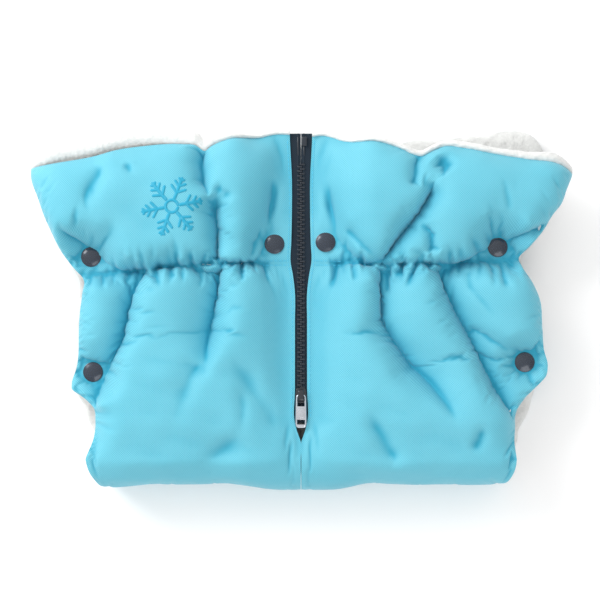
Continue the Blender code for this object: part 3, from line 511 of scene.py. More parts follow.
def slabMesh(name, top, bottom, uv, flip):
    # a closed sheet: the top grid, the bottom grid turned over, and a wall round the rim
    rows, columns = top.shape[:2]
    count = rows * columns
    quads = faceGrid(rows, columns)
    index = np.arange(count).reshape(rows, columns)
    rim = np.concatenate([index[0, :-1], index[:-1, -1], index[-1, :0:-1], index[:0:-1, 0]])
    after = np.roll(rim, -1)
    walls = stacked(rim, rim + count, after + count, after)
    faces = np.concatenate([quads, quads[:, ::-1] + count, walls])
    points = np.concatenate([top.reshape(-1, 3), bottom.reshape(-1, 3)])
    return meshPiece(name, points, faces[:, ::-1] if flip else faces, np.concatenate([uv.reshape(-1, 2)] * 2))


def gridNormals(points):
    # unit normals of a grid from the cross product of its two directions
    normal = np.cross(np.gradient(points, axis=1), np.gradient(points, axis=0))
    return normal / np.maximum(np.linalg.norm(normal, axis=2, keepdims=True), 1e-9)


filling = {"growth": 0.07, "pressure": 30, "frames": 20, "scale": 10, "vertexMass": 0.05, "stiffness": 20,
           "bending": 2.0, "limit": 7, "quality": 5, "calmGrowth": 0.01, "calmZip": (14, 42), "calmTop": (12, 30),
           "looseFrom": (8, 34), "atFold": (0, 0.6), "slit": 12, "smooth": 0.45}


def inflate(points, pins, calm):
    # cloth simulation of one sheet: it grows a little and is blown up between its seams, and its movement m is
    # capped to limit * tanh(m / limit)
    rows, columns = points.shape[:2]
    bag = meshPiece("bag", points * filling["scale"], faceGrid(rows, columns))
    for name, weights in (("seams", pins), ("calm", calm)):
        group = bag.vertex_groups.new(name=name)
        levels = np.round(weights.ravel() * 10).astype(int)
        for level in range(1, 11):
            group.add(np.flatnonzero(levels == level).tolist(), level / 10, "REPLACE")
    modifier = bag.modifiers.new("filling", "CLOTH")
    settings = {
        "quality": filling["quality"], "mass": filling["vertexMass"], "tension_stiffness": filling["stiffness"],
        "compression_stiffness": filling["stiffness"], "shear_stiffness": filling["stiffness"] / 3,
        "bending_stiffness": filling["bending"], "vertex_group_mass": "seams", "pin_stiffness": 1,
        "vertex_group_shrink": "calm", "shrink_min": -filling["growth"], "shrink_max": -filling["calmGrowth"],
        "use_pressure": True, "uniform_pressure_force": filling["pressure"],
    }
    for key, value in settings.items():
        setattr(modifier.settings, key, value)
    modifier.settings.effector_weights.gravity = 0
    modifier.collision_settings.use_collision = False
    modifier.point_cache.frame_start = 1
    modifier.point_cache.frame_end = filling["frames"]
    for frameNumber in range(1, filling["frames"] + 1):
        bpy.context.scene.frame_set(frameNumber)
    shaped = bag.evaluated_get(bpy.context.evaluated_depsgraph_get()).to_mesh()
    found = np.empty(rows * columns * 3, np.float32)
    shaped.vertices.foreach_get("co", found)
    bpy.context.scene.frame_set(1)
    bpy.data.meshes.remove(bag.data)
    move = found.reshape(rows, columns, 3) / (filling["scale"] * mm) - points
    size = np.linalg.norm(move, axis=2, keepdims=True)
    print("inflated, mean and largest movement in mm:", round(float(size.mean()), 2), round(float(size.max()), 2))
    return points + move * filling["limit"] * np.tanh(size / filling["limit"]) / np.maximum(size, 1e-6)


# where the cloth is held: all of the way to the first distance, not at all from the second
seams = {"slit": (-96, -80), "slitHalf": 0.8, "strip": 7.7, "zip": (0, 5), "waist": (1.2, 3.4), "edge": (0.8, 3),
         "backAngle": (2.8, 3.0), "stud": (8.2, 11)}


def seamPins(side, grid):
    # 1 on the stitched lines: zip strip, elastic, edges, creases, studs and the line where the back begins
    x, y = grid["x"], grid["y"]
    stitched = [
        1 - ramp(np.abs(x) - seams["slitHalf"] - seams["strip"] * ramp(y, *seams["slit"]), *seams["zip"]),
        1 - ramp(np.abs(y - alongX(outline["waist"][side], x)), *seams["waist"]),
        1 - ramp(grid["edge"], *seams["edge"]), 1 - ramp(grid["top"], *seams["edge"]),
        ramp(grid["angle"] + 0 * x, *seams["backAngle"]), grid["core"],
    ]
    for (snapSide, kind), spot in snaps.items():
        if snapSide == side:
            stitched.append(1 - ramp(np.hypot(x - spot[0], y - spot[1]), *seams["stud"]))
    return np.max(stitched, axis=0)


def valleys(points, normals):
    # how far each point lies below the mean of the cloth round it, at two widths, from 0 to 1; used as painted shade in
    # the cloth's hollows
    total = np.zeros(points.shape[:2])
    for times, size in ((14, 0.5), (90, 1.9)):
        below = ((softened(points, times) - points) * normals).sum(axis=2)
        total = np.maximum(total, np.clip(below / size, 0, 1))
    return softened(total, 2)


def outerSheet(side):
    # the finished outer face of one half, from the back's edge round the fold to the collar
    points, grid = creasedSheet(side)
    fromZip, edge, top = np.abs(grid["x"]), grid["edge"], grid["top"]
    turn = slice(None, None, sides[side])
    atFold = ramp(grid["angle"] + 0 * grid["x"], *filling["atFold"])
    calm = np.maximum(1 - ramp(fromZip, *filling["calmZip"]), 0.6 * atFold)
    calm = np.maximum(calm, 1 - ramp(top, *filling["calmTop"]))
    blown = inflate(points[:, turn], seamPins(side, grid)[:, turn], calm[:, turn])[:, turn]
    fromSlit = fromZip + filling["slit"] * (1 - ramp(grid["y"], *seams["slit"]))
    loose = (1 - 0.5 * atFold) * (0.25 + 0.75 * ramp(fromSlit, *filling["looseFrom"]))
    points = points + (blown - points) * loose[..., None]
    inner = ramp(edge, 1, 6) * ramp(top, 1, 6) * ramp(fromZip, 2, 9)
    points = points + filling["smooth"] * (softened(points, 1) - points) * inner[..., None]
    points[..., 2] = np.maximum(points[..., 2], frontShape["table"])
    return refine(points), 2 * grid["foldRows"] - 2, grid


def linear(hexColour):
    # sRGB hex to linear: ((c + 0.055) / 1.055)^2.4, or c / 12.92 below 0.04045
    parts = [int(hexColour[i:i + 2], 16) / 255 for i in (1, 3, 5)]
    return (*[c / 12.92 if c <= 0.04045 else ((c + 0.055) / 1.055) ** 2.4 for c in parts], 1.0)


def addNode(material, kind, inputs=None, out=0, **settings):
    # one shader node with its settings, gives back an output; an input, by name or in order, is a value or a link
    node = material.node_tree.nodes.new("ShaderNode" + kind)
    for key, value in settings.items():
        setattr(node, key, value)
    for key, value in (inputs if isinstance(inputs, dict) else dict(enumerate(inputs or ()))).items():
        if isinstance(value, bpy.types.NodeSocket):
            material.node_tree.links.new(value, node.inputs[key])
        else:
            node.inputs[key].default_value = value
    return node.outputs[out]


def newMaterial(name, **values):
    # a principled material with its plain values set
    material = bpy.data.materials.new(name)
    material.use_nodes = True
    for key, value in values.items():
        material.node_tree.nodes["Principled BSDF"].inputs[key].default_value = value
    return material


def surfaced(material, share, dark, light, height, strength, depth, rough=None):
    # colour from dark to light by a share, bumps from a height, and roughness if it varies
    shader = material.node_tree.nodes["Principled BSDF"]
    dark, light = (linear(one) if isinstance(one, str) else one for one in (dark, light))
    colour = addNode(material, "Mix", {0: share, 6: dark, 7: light}, 2, data_type="RGBA")
    links = {"Base Color": colour, "Roughness": rough}
    if height is not None:
        bumps = {"Height": height, "Strength": strength, "Distance": depth}
        links["Normal"] = addNode(material, "Bump", bumps)
    for key, output in links.items():
        if output is not None:
            material.node_tree.links.new(output, shader.inputs[key])
    return material


# light and dark are the two tones of the weave; the third colour is painted shade, mixed in at the cloth's folds and
# creases
clothLook = {"light": "#76C9DB", "dark": "#48A8BF", "foldShade": "#0E98B6", "thread": 0.82, "roughness": 0.62, "sheen": 0.22}


def wovenCloth(name, look):
    # coated polyester oxford: plain weave in doubled yarns, so small square dots in a chequer, sin(x) * sin(y)
    material = newMaterial(name, **{"Roughness": look["roughness"], "Sheen Weight": look["sheen"],
                                    "Sheen Roughness": 0.45, "Specular IOR Level": 0.35})
    spot = addNode(material, "TexCoord", out="UV")
    waves = []
    for axis in ("X", "Y"):
        along = addNode(material, "SeparateXYZ", [spot], axis)
        turn = addNode(material, "Math", [along, math.pi / (look["thread"] * mm)], operation="MULTIPLY")
        waves.append(addNode(material, "Math", [turn], operation="SINE"))
    chequer = addNode(material, "Math", [waves[0], waves[1]], operation="MULTIPLY")
    lift = addNode(material, "Math", [chequer, 0.5, 0.5], operation="MULTIPLY_ADD")
    slub = addNode(material, "TexNoise", {"Vector": spot, "Scale": 900.0, "Detail": 2.0}, "Fac")
    cloud = addNode(material, "TexNoise", {"Vector": spot, "Scale": 22.0, "Detail": 3.0}, "Fac")
    height = addNode(material, "Math", [slub, 0.55, lift], operation="MULTIPLY_ADD")
    shade = addNode(material, "Math", [cloud, 0.35, lift], operation="MULTIPLY_ADD")
    share = addNode(material, "MapRange", {"Value": shade, "From Min": 0.1, "From Max": 1.15})
    ends = {0: share, 6: linear(look["dark"]), 7: linear(look["light"])}
    yarn = addNode(material, "Mix", ends, 2, data_type="RGBA")
    # painted shade: in folds and creases the colour is mixed towards a deeper blue, standing in for light that bounces
    # inside a fold
    paintedShade = addNode(material, "Attribute", out="Fac", attribute_name="paintedShade")
    share = addNode(material, "Math", [paintedShade, 0.85], operation="MULTIPLY")
    return surfaced(material, share, yarn, look["foldShade"], height, 0.6, 0.00025)


def fleecePile(name):
    # knitted polyester fleece, raised and sheared: matt pile in small curls
    material = newMaterial(name, **{"Roughness": 0.95, "Sheen Weight": 0.5, "Sheen Roughness": 0.6,
                                    "Specular IOR Level": 0.15})
    spot = addNode(material, "TexCoord", out="Object")
    shape = {"Vector": spot, "Scale": 420.0, "Detail": 4.0, "Roughness": 0.65}
    curl = addNode(material, "TexNoise", shape, "Fac")
    clump = addNode(material, "TexNoise", {"Vector": spot, "Scale": 90.0, "Detail": 3.0}, "Fac")
    height = addNode(material, "Math", [clump, 1.4, curl], operation="MULTIPLY_ADD")
    return surfaced(material, curl, "#CFD0CE", "#EEEFED", height, 0.6, 0.0012)


def wovenTape(name, dark, light):
    # zip tape: twill of fine polyester yarn, dyed navy
    material = newMaterial(name, **{"Roughness": 0.8, "Sheen Weight": 0.15, "Specular IOR Level": 0.3})
    spot = addNode(material, "TexCoord", out="Object")
    shape = {"Vector": spot, "Scale": 420.0, "Distortion": 1.5, "Detail": 1.0}
    rib = addNode(material, "TexWave", shape, "Fac", bands_direction="DIAGONAL")
    return surfaced(material, rib, dark, light, rib, 0.4, 0.0002)


def finished(name, dark, light, grain, roughness, metallic, coat=0.0):
    # a smooth moulded, plated or painted part: faint grain in colour, roughness and bump
    material = newMaterial(name, **{"Metallic": metallic, "Coat Weight": coat, "Coat Roughness": 0.12})
    spot = addNode(material, "TexCoord", out="Object")
    speck = addNode(material, "TexNoise", {"Vector": spot, "Scale": grain, "Detail": 4.0}, "Fac")
    ends = {"Value": speck, "To Min": roughness * 0.75, "To Max": roughness * 1.3}
    rough = addNode(material, "MapRange", ends)
    return surfaced(material, speck, dark, light, speck, 0.12, 0.0001, rough)


looks = {
    "cloth": wovenCloth("water_repellent_oxford_polyester", clothLook),
    "fleece": fleecePile("sheared_polyester_fleece"),
    "tape": wovenTape("navy_zip_tape_twill", "#0A1722", "#182B3A"),
    "teeth": finished("moulded_acetal_zip_teeth", "#0A141E", "#162432", 900.0, 0.2, 0.0, 0.3),
    "slider": finished("black_painted_zinc_slider", "#0B0E15", "#1A1F2A", 1200.0, 0.25, 0.0, 0.4),
    "tab": finished("nickel_plated_pull_tab", "#A9ADB4", "#D9DCE2", 1500.0, 0.22, 1.0),
    "cap": finished("gunmetal_painted_snap_cap", "#121B27", "#243346", 1600.0, 0.26, 0.35, 0.8),
    "snapMetal": finished("nickel_plated_snap_brass", "#9A9CA0", "#C6C8CC", 1500.0, 0.28, 1.0),
    "thread": finished("polyester_sewing_thread", "#3FB6D6", "#62CBE6", 2500.0, 0.6, 0.0),
    "embroidery": finished("rayon_embroidery_thread", "#0E97B8", "#1FAFD0", 2200.0, 0.38, 0.0),
}


def dress(piece, look, slot, body, *nodes, fill=None):
    # look, slot (not used), the body it rides on or the two it joins across the fold, the frame's nodes it stands for,
    # and how full a padded piece is (not used)
    piece.data.materials.clear()
    piece.data.materials.append(looks[look])
    if isinstance(body, tuple):
        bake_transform(piece)
    else:
        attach(piece, body)
    if nodes:
        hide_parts(*nodes)


lining = {"thickness": 10.5, "lip": 9, "pile": 0.55, "depthAtStud": 3.6, "depthAtWaist": 4.5, "below": 1.4,
          "belowStud": 2.0, "step": 2.2, "width": 170, "height": 240, "cloth": 0.8, "creaseShade": 0.95,
          "sideTuck": (1.6, 0, 24), "zipTuck": (3.2, 4, 20), "stud": (10, 30), "studBelow": (12, 18), "waist": (3, 16)}
lipLook = {"radius": 6.5, "aboveCloth": 2.2, "around": 28, "pile": 0.04, "fromZip": (20, 70), "share": 0.62,
           "least": 1.6, "sink": 1.2}


def liningUnder(side, points, grid, columns, rows):
    # fleece: its outer side follows the cloth, its inner side lies further in and comes round at the open edges
    read = stacked(grid["x"], grid["y"], grid["edge"], grid["top"], softened(grid["core"], 4))
    x, y, edge, top, core = np.moveaxis(bilinear(read, rows, columns), 2, 0)
    near = np.clip(np.minimum(edge, top + 2) / lining["lip"], 0, 0.99)
    depth = lining["thickness"] * (0.3 + 0.7 * quarter(near))
    depth = pinch(side, x, y, depth, {key: lining["depthAtStud"] for key in snaps}, *lining["stud"])
    casing = 1 - ramp(np.abs(y - alongX(outline["waist"][side], x)), *lining["waist"])
    depth = depth + (lining["depthAtWaist"] - depth) * casing
    atStud = pinch(side, x, y, np.zeros(x.shape), {key: lining["belowStud"] for key in snaps}, *lining["studBelow"])
    away = ramp(np.minimum(edge, top), 1, 8)
    below = lining["below"] + atStud + np.maximum(3 * casing, 4 * core) * away
    return bilinear(points, rows, columns), below, below + depth - curls(x, y, 31, lining["pile"]), stacked(x, y)


def lipRoll(side, points, name):
    # a roll of fleece along the collar's edge: a ring of width and height round each point of a line
    edgeLine = points[-1]
    aside = lipLook["aboveCloth"] * ramp(np.abs(edgeLine[:, 0]), *lipLook["fromZip"])
    rise = alongX(outline["fleeceRise"][side], edgeLine[:, 0]) + aside
    wide = np.clip(rise * lipLook["share"], lipLook["least"], lipLook["radius"])
    middle = edgeLine + stacked(0, rise - wide, -wide * 0.75 - lipLook["sink"])
    turn = circle(lipLook["around"])[None, :]
    along = np.arange(len(edgeLine))[:, None] * 1.2
    knobs = ripple(along, turn * 6, 71, 5, 9) + 0.8 * ripple(along, turn * 6, 72, 2.6, 9)
    pile = 1 + lipLook["pile"] * (knobs + 0.9 * ripple(along, turn, 73, 26))
    y = middle[:, 1:2] + wide[:, None] * np.cos(turn) * pile
    z = middle[:, 2:3] + lipLook["radius"] * 0.8 * np.sin(turn) * pile
    tube = stacked(edgeLine[:, :1] + 0 * y, y, z)
    return reshaped(meshPiece(name, tube, ringQuads(*y.shape)), False)


def cutAt(row):
    # the rows of the fold's piece and of the front's piece, which share one row
    return (("fold", slice(0, row + 1)), ("front", slice(row, None)))


def makeHalf(side):
    # cloth and fleece of one half, each cut in two where the fold ends
    points, seam, grid = outerSheet(side)
    flip, front = sides[side] < 0, f"front_{side}"
    bodies = {"fold": ("back", front), "front": front}
    padding = {"fold": [f"wadding_fold_{side}"],
               "front": [f"wadding_pocket_{side}", f"wadding_collar_{side}", f"elastic_front_{side}"]}
    normals = gridNormals(points) * (-1 if flip else 1)
    uv = refine(stacked(grid["x"], grid["y"]))
    even = softened(normals, 14)
    inside = points - lining["cloth"] * even
    # painted shade: a mask that is highest in the cloth's hollows and beside its deep creases, kept on the covers as an
    # attribute that darkens the cloth's colour
    shade = refine(softened(grid["shade"], 2)[..., None])[..., 0]
    shadeMask = np.maximum(valleys(points, normals), lining["creaseShade"] * np.clip(shade, 0, 1))
    for name, part in cutAt(seam):
        cover = slabMesh(f"cover_{name}_{side}", points[part], inside[part], uv[part], flip)
        both = np.concatenate([normals[part].reshape(-1, 3), -normals[part].reshape(-1, 3)])
        cover.data.normals_split_custom_set_from_vertices(both)
        paintedShade = cover.data.attributes.new("paintedShade", "FLOAT", "POINT")
        paintedShade.data.foreach_set("value", np.tile(shadeMask[part].ravel(), 2).astype(np.float32))
        dress(cover, "cloth", "shell_cloth", bodies[name], f"shell_{name}_{side}", *padding[name], fill=0.7)
    columns = int(lining["width"] / lining["step"])
    rows = int((foldLength + lining["height"]) / lining["step"])
    outer, nearFace, farFace, flat = liningUnder(side, points, grid, columns, rows)
    # the fleece is drawn in at the side edge and away from the zip
    for (size, near, far), away, way in ((lining["sideTuck"], flat[:, -1:, 0] - flat[..., 0], 1),
                                         (lining["zipTuck"], flat[..., 0], -1)):
        outer[..., 0] -= sides[side] * way * size * (1 - ramp(np.abs(away), near, far))
    normal = bilinear(even, rows, columns)
    upper, lower = outer - normal * nearFace[..., None], outer - normal * farFace[..., None]
    cut = int(round((grid["foldRows"] - 1) / (grid["x"].shape[0] - 1) * (rows - 1)))
    for name, part in cutAt(cut):
        fleece = slabMesh(f"fleece_{name}_{side}", upper[part], lower[part], flat[part], flip)
        dress(fleece, "fleece", "fleece", bodies[name], f"lining_{name}_{side}", fill=0.6)
    dress(lipRoll(side, points, f"fleece_lip_{side}"), "fleece", "fleece", front, fill=0.6)
    return points[seam:], normals[seam:]


halves = {side: makeHalf(side) for side in sides}
print("front halves and fold made")

stitching = {"long": 2.5, "pitch": 3.3, "radius": 0.27, "fromEdge": 2.0, "rowGap": 1.6, "around": 6, "rings": 7,
             "rowY": (-80, 128), "shortX": (10.5, 30)}
snowflake = {"middle": (-95, 76), "reach": 23, "width": 1.25, "rise": 0.55, "turn": 0.18, "stitch": 0.5,
             "pitch": 0.17, "branches": ((0.46, 0.34), (0.68, 0.26), (0.87, 0.14)), "ring": 0.2}


def onCloth(side, x, y):
    # height and normal of the finished cloth at (x, y): nearest point of its grid, then that point's tangent plane
    points, normals = halves[side]
    flat = points[..., :2].reshape(-1, 2)
    nearest = np.array([np.argmin((flat[:, 0] - a) ** 2 + (flat[:, 1] - b) ** 2) for a, b in zip(x.flat, y.flat)])
    base, normal = points.reshape(-1, 3)[nearest], normals.reshape(-1, 3)[nearest]
    away = (x.ravel() - base[:, 0]) * normal[:, 0] + (y.ravel() - base[:, 1]) * normal[:, 1]
    height = base[:, 2] - away / np.maximum(normal[:, 2], 0.3)
    return stacked(x, y, height.reshape(x.shape)), normal.reshape(*x.shape, 3)


def evenly(line, pitch):
    # points at an even pitch along a line, with the direction at each
    line = np.asarray(line, float)
    length = np.concatenate([[0], np.cumsum(np.linalg.norm(np.diff(line, axis=0), axis=1))])
    at = np.arange(pitch / 2, length[-1], pitch)
    spot, ahead, behind = (
        stacked(np.interp(at + shift, length, line[:, 0]), np.interp(at + shift, length, line[:, 1]))
        for shift in (0, 0.5, -0.5)
    )
    way = ahead - behind
    return spot, way / np.linalg.norm(way, axis=1, keepdims=True)


def sewn(name, side, lines):
    # each stitch is a short bent rod: its ends go into the cloth, height 0.75 - 1.5 (2 s)^4 of its radius
    spot, way = (np.concatenate(part) for part in zip(*[evenly(line, stitching["pitch"]) for line in lines]))
    count, rings, around, radius = len(spot), stitching["rings"], stitching["around"], stitching["radius"]
    s = np.linspace(-0.5, 0.5, rings)
    x, y = (spot[:, axis:axis + 1] + way[:, axis:axis + 1] * s * stitching["long"] for axis in (0, 1))
    seated, normal = onCloth(side, x, y)
    core = seated + normal * (radius * (0.75 - 1.5 * (2 * np.abs(s)) ** 4))[None, :, None]
    sideways = np.cross(normal, np.concatenate([way, np.zeros((count, 1))], axis=1)[:, None])
    turn = circle(around)[None, None, :, None]
    ring = core[:, :, None] + radius * (np.cos(turn) * sideways[:, :, None] + np.sin(turn) * normal[:, :, None])
    ends = np.array([[0, 1, 2, 3], [0, 3, 4, 5]])
    quads = np.concatenate([ringQuads(rings, around), ends[:, ::-1], ends + (rings - 1) * around])
    quads = (quads[None] + (np.arange(count) * rings * around)[:, None, None]).reshape(-1, 4)
    piece = reshaped(meshPiece(name, ring, quads), True)
    dress(piece, "thread", "shell_cloth", f"front_{side}")


def satin(path, width):
    # a band of close stitches: rise * sqrt(1 - v^2) across it, with a fine wave along it for the threads
    spot, way = evenly(path, snowflake["pitch"])
    v = np.linspace(-1, 1, 9)[None, :]
    step = np.arange(len(spot))
    taper = np.sqrt(np.clip(np.minimum(step, step[::-1]) * snowflake["pitch"] / width, 0.1, 1))[:, None]
    x = spot[:, :1] - way[:, 1:] * v * width * taper
    y = spot[:, 1:] + way[:, :1] * v * width * taper
    rise = snowflake["rise"] * np.sqrt(1 - (0.97 * v) ** 2) * taper
    rise = rise + 0.09 * np.sin(math.tau * (step[:, None] * snowflake["pitch"] + 0.35 * v) / snowflake["stitch"])
    seated, normal = onCloth("left", x, y)
    return slabMesh("band", seated + normal * rise[..., None], seated - normal * 0.5, stacked(x, y), False)


def makeSnowflake():
    # six arms, each with pairs of branches, and a ring in the middle
    middle, reach, width = np.array(snowflake["middle"], float), snowflake["reach"], snowflake["width"]
    bands = []
    for step in range(6):
        angle = snowflake["turn"] + step * math.pi / 3
        way = np.array([math.cos(angle), math.sin(angle)])
        bands.append(satin([middle + way * reach * (snowflake["ring"] + 0.02), middle + way * reach], width))
        for along, size in snowflake["branches"]:
            root = middle + way * reach * along
            for lean in (angle - math.pi / 3.4, angle + math.pi / 3.4):
                tip = root + reach * size * np.array([math.cos(lean), math.sin(lean)])
                bands.append(satin([root, tip], width * 0.8))
    turn = np.linspace(0, math.tau, 60)
    ring = middle + reach * snowflake["ring"] * stacked(np.cos(turn), np.sin(turn))
    bands.append(satin(ring, width * 0.85))
    dress(joined("snowflake_embroidery", bands), "embroidery", "shell_cloth", "front_left")


def makeStitches():
    # one row beside the zip, and two short rows where the elastic ends
    for side, sign in sides.items():
        y = np.linspace(*stitching["rowY"], 80)
        lines = [stacked(zipEdge(side, y) + sign * stitching["fromEdge"], y)]
        x = sign * np.linspace(*stitching["shortX"], 12)
        for shift in (-stitching["rowGap"], stitching["rowGap"]):
            lines.append(stacked(x, alongX(outline["waist"][side], x) + shift))
        sewn(f"topstitch_{side}", side, lines)


backLook = {"clothStep": 1.8, "fleeceStep": 2.2, "fleeceGrow": 1.6, "edgeLift": 5.5, "edgeRoll": 9, "depth": 10.2,
            "depthRoll": 10, "wave": 0.5, "pinch": (8, 34), "wide": 360, "tall": 240, "gap": 1.1}


def backSheet(step, grow=0.0):
    # one grid across both halves: s from the left edge to the right edge, t from the fold to the top edge
    s = np.linspace(-1, 1, int(backLook["wide"] / step))[None, :]
    t = np.linspace(0, 1, int(backLook["tall"] / step))[:, None]
    top = np.full((1, s.shape[1]), startTop)
    sideLines, topLines = outline["backSide"], outline["backTop"]

    def across(height):
        return np.where(s < 0, -s * alongY(sideLines["left"], height), s * alongY(sideLines["right"], height))

    for _ in range(corrections):
        reach = across(top)
        left, right = alongX(topLines["left"], np.minimum(reach, 0)), alongX(topLines["right"], np.maximum(reach, 0))
        top = 0.5 * top + 0.5 * (np.where(reach < 0, left, right) + grow)
    y = foldY + (top - foldY) * t
    x = across(y) + grow * s
    edge = np.abs(np.where(s < 0, alongY(sideLines["left"], y), alongY(sideLines["right"], y))) + grow - np.abs(x)
    free = np.minimum(edge, top - y)
    z = backLook["wave"] * (1 + ripple(x, y, 52, 70) * 0.4) * ramp(y, foldY, foldY + 25)
    z = eachSide(x, y, z, backSeats, *backLook["pinch"])
    lift = (1 - quarter(np.clip(free / backLook["edgeRoll"], 0.01, 1))) * ramp(y, foldY, foldY + 25)
    return x, y, z, backLook["edgeLift"] * lift, free


def eachSide(x, y, z, heights, reachIn, reachOut):
    # pinches each half of a sheet at its own studs
    for side, sign in sides.items():
        z = np.where(x * sign >= 0, pinch(side, x, y, z, heights, reachIn, reachOut), z)
    return z


def makeBack():
    # cloth outside, fleece inside with quarter rounds at its free edges
    x, y, z, lift, free = backSheet(backLook["clothStep"])
    z = z + lift
    low, high = stacked(x, y, z), stacked(x, y, z + lining["cloth"])
    cover = slabMesh("cover_back", high, low, stacked(x, -2 * foldLength - y), False)
    nodes = ("shell_back", "wadding_back_pocket", "wadding_back_collar", "elastic_back")
    dress(cover, "cloth", "shell_cloth", "back", *nodes, fill=0.6)
    x, y, z, lift, free = backSheet(backLook["fleeceStep"], backLook["fleeceGrow"])
    depth = backLook["depth"] * (0.45 + 0.55 * quarter(np.clip(free / backLook["depthRoll"], 0.01, 1)))
    depth = eachSide(x, y, depth, {key: lining["depthAtStud"] for key in snaps}, *lining["stud"])
    low = stacked(x, y, z + lift + backLook["gap"])
    high = stacked(x, y, z + lift * 0.4 + backLook["gap"] + depth + curls(x, y, 61))
    fleece = slabMesh("fleece_back", high, low, stacked(x, y), False)
    dress(fleece, "fleece", "fleece", "back", "lining_back", fill=0.6)


makeBack()
print("back made")

profiles = {  # radius and height from the cloth's face, turned about the stud's own line
    "cap": [(0, 2.05), (1.6, 1.98), (3.2, 1.76), (4.7, 1.42), (5.9, 1.02), (6.6, 0.76), (7.1, 0.68), (7.42, 0.5),
            (7.5, 0.22), (7.38, -0.02), (7.05, -0.1), (6.6, 0.05), (2.6, 0.05), (1.9, -0.1), (1.9, -5.2),
            (1.5, -5.3), (0, -5.3)],
    "socket": [(2.25, -4.4), (4.7, -4.4), (5.15, -4.6), (5.2, -5.2), (5.2, -6.2), (5.05, -6.6), (4.7, -6.7),
               (3.4, -6.65), (3.1, -6.5), (3.0, -6.0), (3.0, -5.45), (2.2, -5.4)],
    "stud": [(0, -5.75), (1.6, -5.75), (2.3, -5.85), (2.5, -6.1), (2.5, -6.5), (2.4, -6.8), (2.5, -7.0),
             (3.6, -7.05), (4.5, -7.1), (4.8, -7.35), (4.75, -7.7), (4.3, -7.8), (1.75, -7.8), (1.7, -7.2), (0, -7.2)],
    "back": [(0, -7.35), (1.2, -7.35), (1.4, -7.6), (1.4, -12.4), (1.8, -12.5), (4.9, -12.5), (5.4, -12.6),
             (5.5, -12.9), (5.3, -13.25), (4.6, -13.6), (3.0, -13.75), (1.2, -13.8), (0, -13.8)],
}
aroundStud = 56


def turned(name, profile, seat, up):
    # ring points (r cos a, r sin a, h) for each step of a profile, stood on the stud's own line
    profile = np.array(profile, float)
    if profile[0, 0] > 0:
        profile = np.concatenate([profile, profile[:1]])
    corners = np.arange(len(profile))
    steps = np.linspace(0, corners[-1], corners[-1] * 2 + 1)
    radius, height = (np.interp(steps, corners, profile[:, column]) for column in (0, 1))
    angle = circle(aroundStud)[None, :, None]
    side = np.array([1.0, 0, 0])
    ring = np.cos(angle) * side + np.sin(angle) * np.cross(up, side)
    points = seat + radius[:, None, None] * ring + height[:, None, None] * up
    return reshaped(meshPiece(name, points, ringQuads(*points.shape[:2]), sharp=40), True)


for (sideName, kindName), oneSeat in seats.items():
    tag, front = f"{sideName}_{kindName}", f"front_{sideName}"
    for partName, look, slot, body in (
        ("cap", "cap", "snap_paint", front), ("socket", "snapMetal", "snap_metal", front),
        ("stud", "snapMetal", "snap_metal", "back"), ("back", "cap", "snap_paint", "back"),
    ):
        oneStud = turned(f"press_{partName}_{tag}", profiles[partName], oneSeat, upward[sideName, kindName])
        dress(oneStud, look, slot, body, f"snap_{partName}_{tag}")
print("press studs made")

zipLook = {
    "tape": {"outer": 13.6, "inner": 0.15, "top": -1.1, "thickness": 0.5, "cord": 0.85, "cordAway": 2.15},
    "tooth": {"pitch": 3.5, "reach": 0.95, "root": 2.95, "thick": 2.5, "middle": -1.35, "first": 1.05},
    "slider": {"half": 4.3, "nose": -5.5, "tail": 5.5, "plateHigh": (-1.975, -0.875), "plateLow": (-6.275, -5.175),
               "crownHalf": 2.1, "crownTop": 1.975, "crownLength": 9.2, "bar": 1.15, "flange": 0.95},
    "tab": {"length": 24.0, "half": 4.25, "neck": 3.85, "bar": 0.72, "plate": (-8.0, -18.0), "thick": 0.45},
}
tiltCos, tiltSin = zipAxis[1], -zipAxis[2]


def onZip(across, along, up, origin):
    # zip frame to world: along runs up the zip, up stands off the cloth
    y = origin[1] + along * tiltCos + up * tiltSin
    z = origin[2] - along * tiltSin + up * tiltCos
    return stacked(origin[0] + across, y, z)


def zipOrigin(y):
    # the point of the zip's face at y
    return np.array([0, y, zipHeight(y)])


def mirrored(points):
    # an outline from its right half, each point copied across the middle line
    return [*points, *[(-a, b) for a, b in points[::-1]]]


def blockMesh(name, outlinePoints, low, high, bevel, origin, segments=3):
    # an outline raised from low to high in the zip frame, with its edges rounded
    shape = bmesh.new()
    floorFace = shape.faces.new([shape.verts.new((a, b, low)) for a, b in outlinePoints])
    raised = bmesh.ops.extrude_face_region(shape, geom=[floorFace])
    moved = [item for item in raised["geom"] if isinstance(item, bmesh.types.BMVert)]
    bmesh.ops.translate(shape, verts=moved, vec=(0, 0, high - low))
    bmesh.ops.recalc_face_normals(shape, faces=shape.faces)
    if bevel:
        bmesh.ops.bevel(shape, geom=list(shape.edges), offset=bevel, segments=segments, affect="EDGES", profile=0.5,
                        clamp_overlap=True)
    mesh = bpy.data.meshes.new(name)
    shape.to_mesh(mesh)
    shape.free()
    flat = np.empty(len(mesh.vertices) * 3)
    mesh.vertices.foreach_get("co", flat)
    mesh.vertices.foreach_set("co", (onZip(*flat.reshape(-1, 3).T, origin) * mm).ravel())
    mesh.update()
    return place(name, mesh, 45)


def repeated(name, source, offsets):
    # one small shape copied to each offset, as one mesh
    mesh = source.data
    flat, sizes = np.empty(len(mesh.vertices) * 3), np.empty(len(mesh.polygons), np.int32)
    mesh.vertices.foreach_get("co", flat)
    mesh.polygons.foreach_get("loop_total", sizes)
    corners = np.empty(sizes.sum(), np.int32)
    mesh.polygons.foreach_get("vertices", corners)
    copies = np.arange(len(offsets))[:, None]
    points = flat.reshape(-1, 3)[None] / mm + offsets[:, None]
    faces = corners[None] + copies * len(mesh.vertices)
    bpy.data.meshes.remove(mesh)
    return meshPiece(name, points, faces, sizes=np.tile(sizes, len(offsets)))


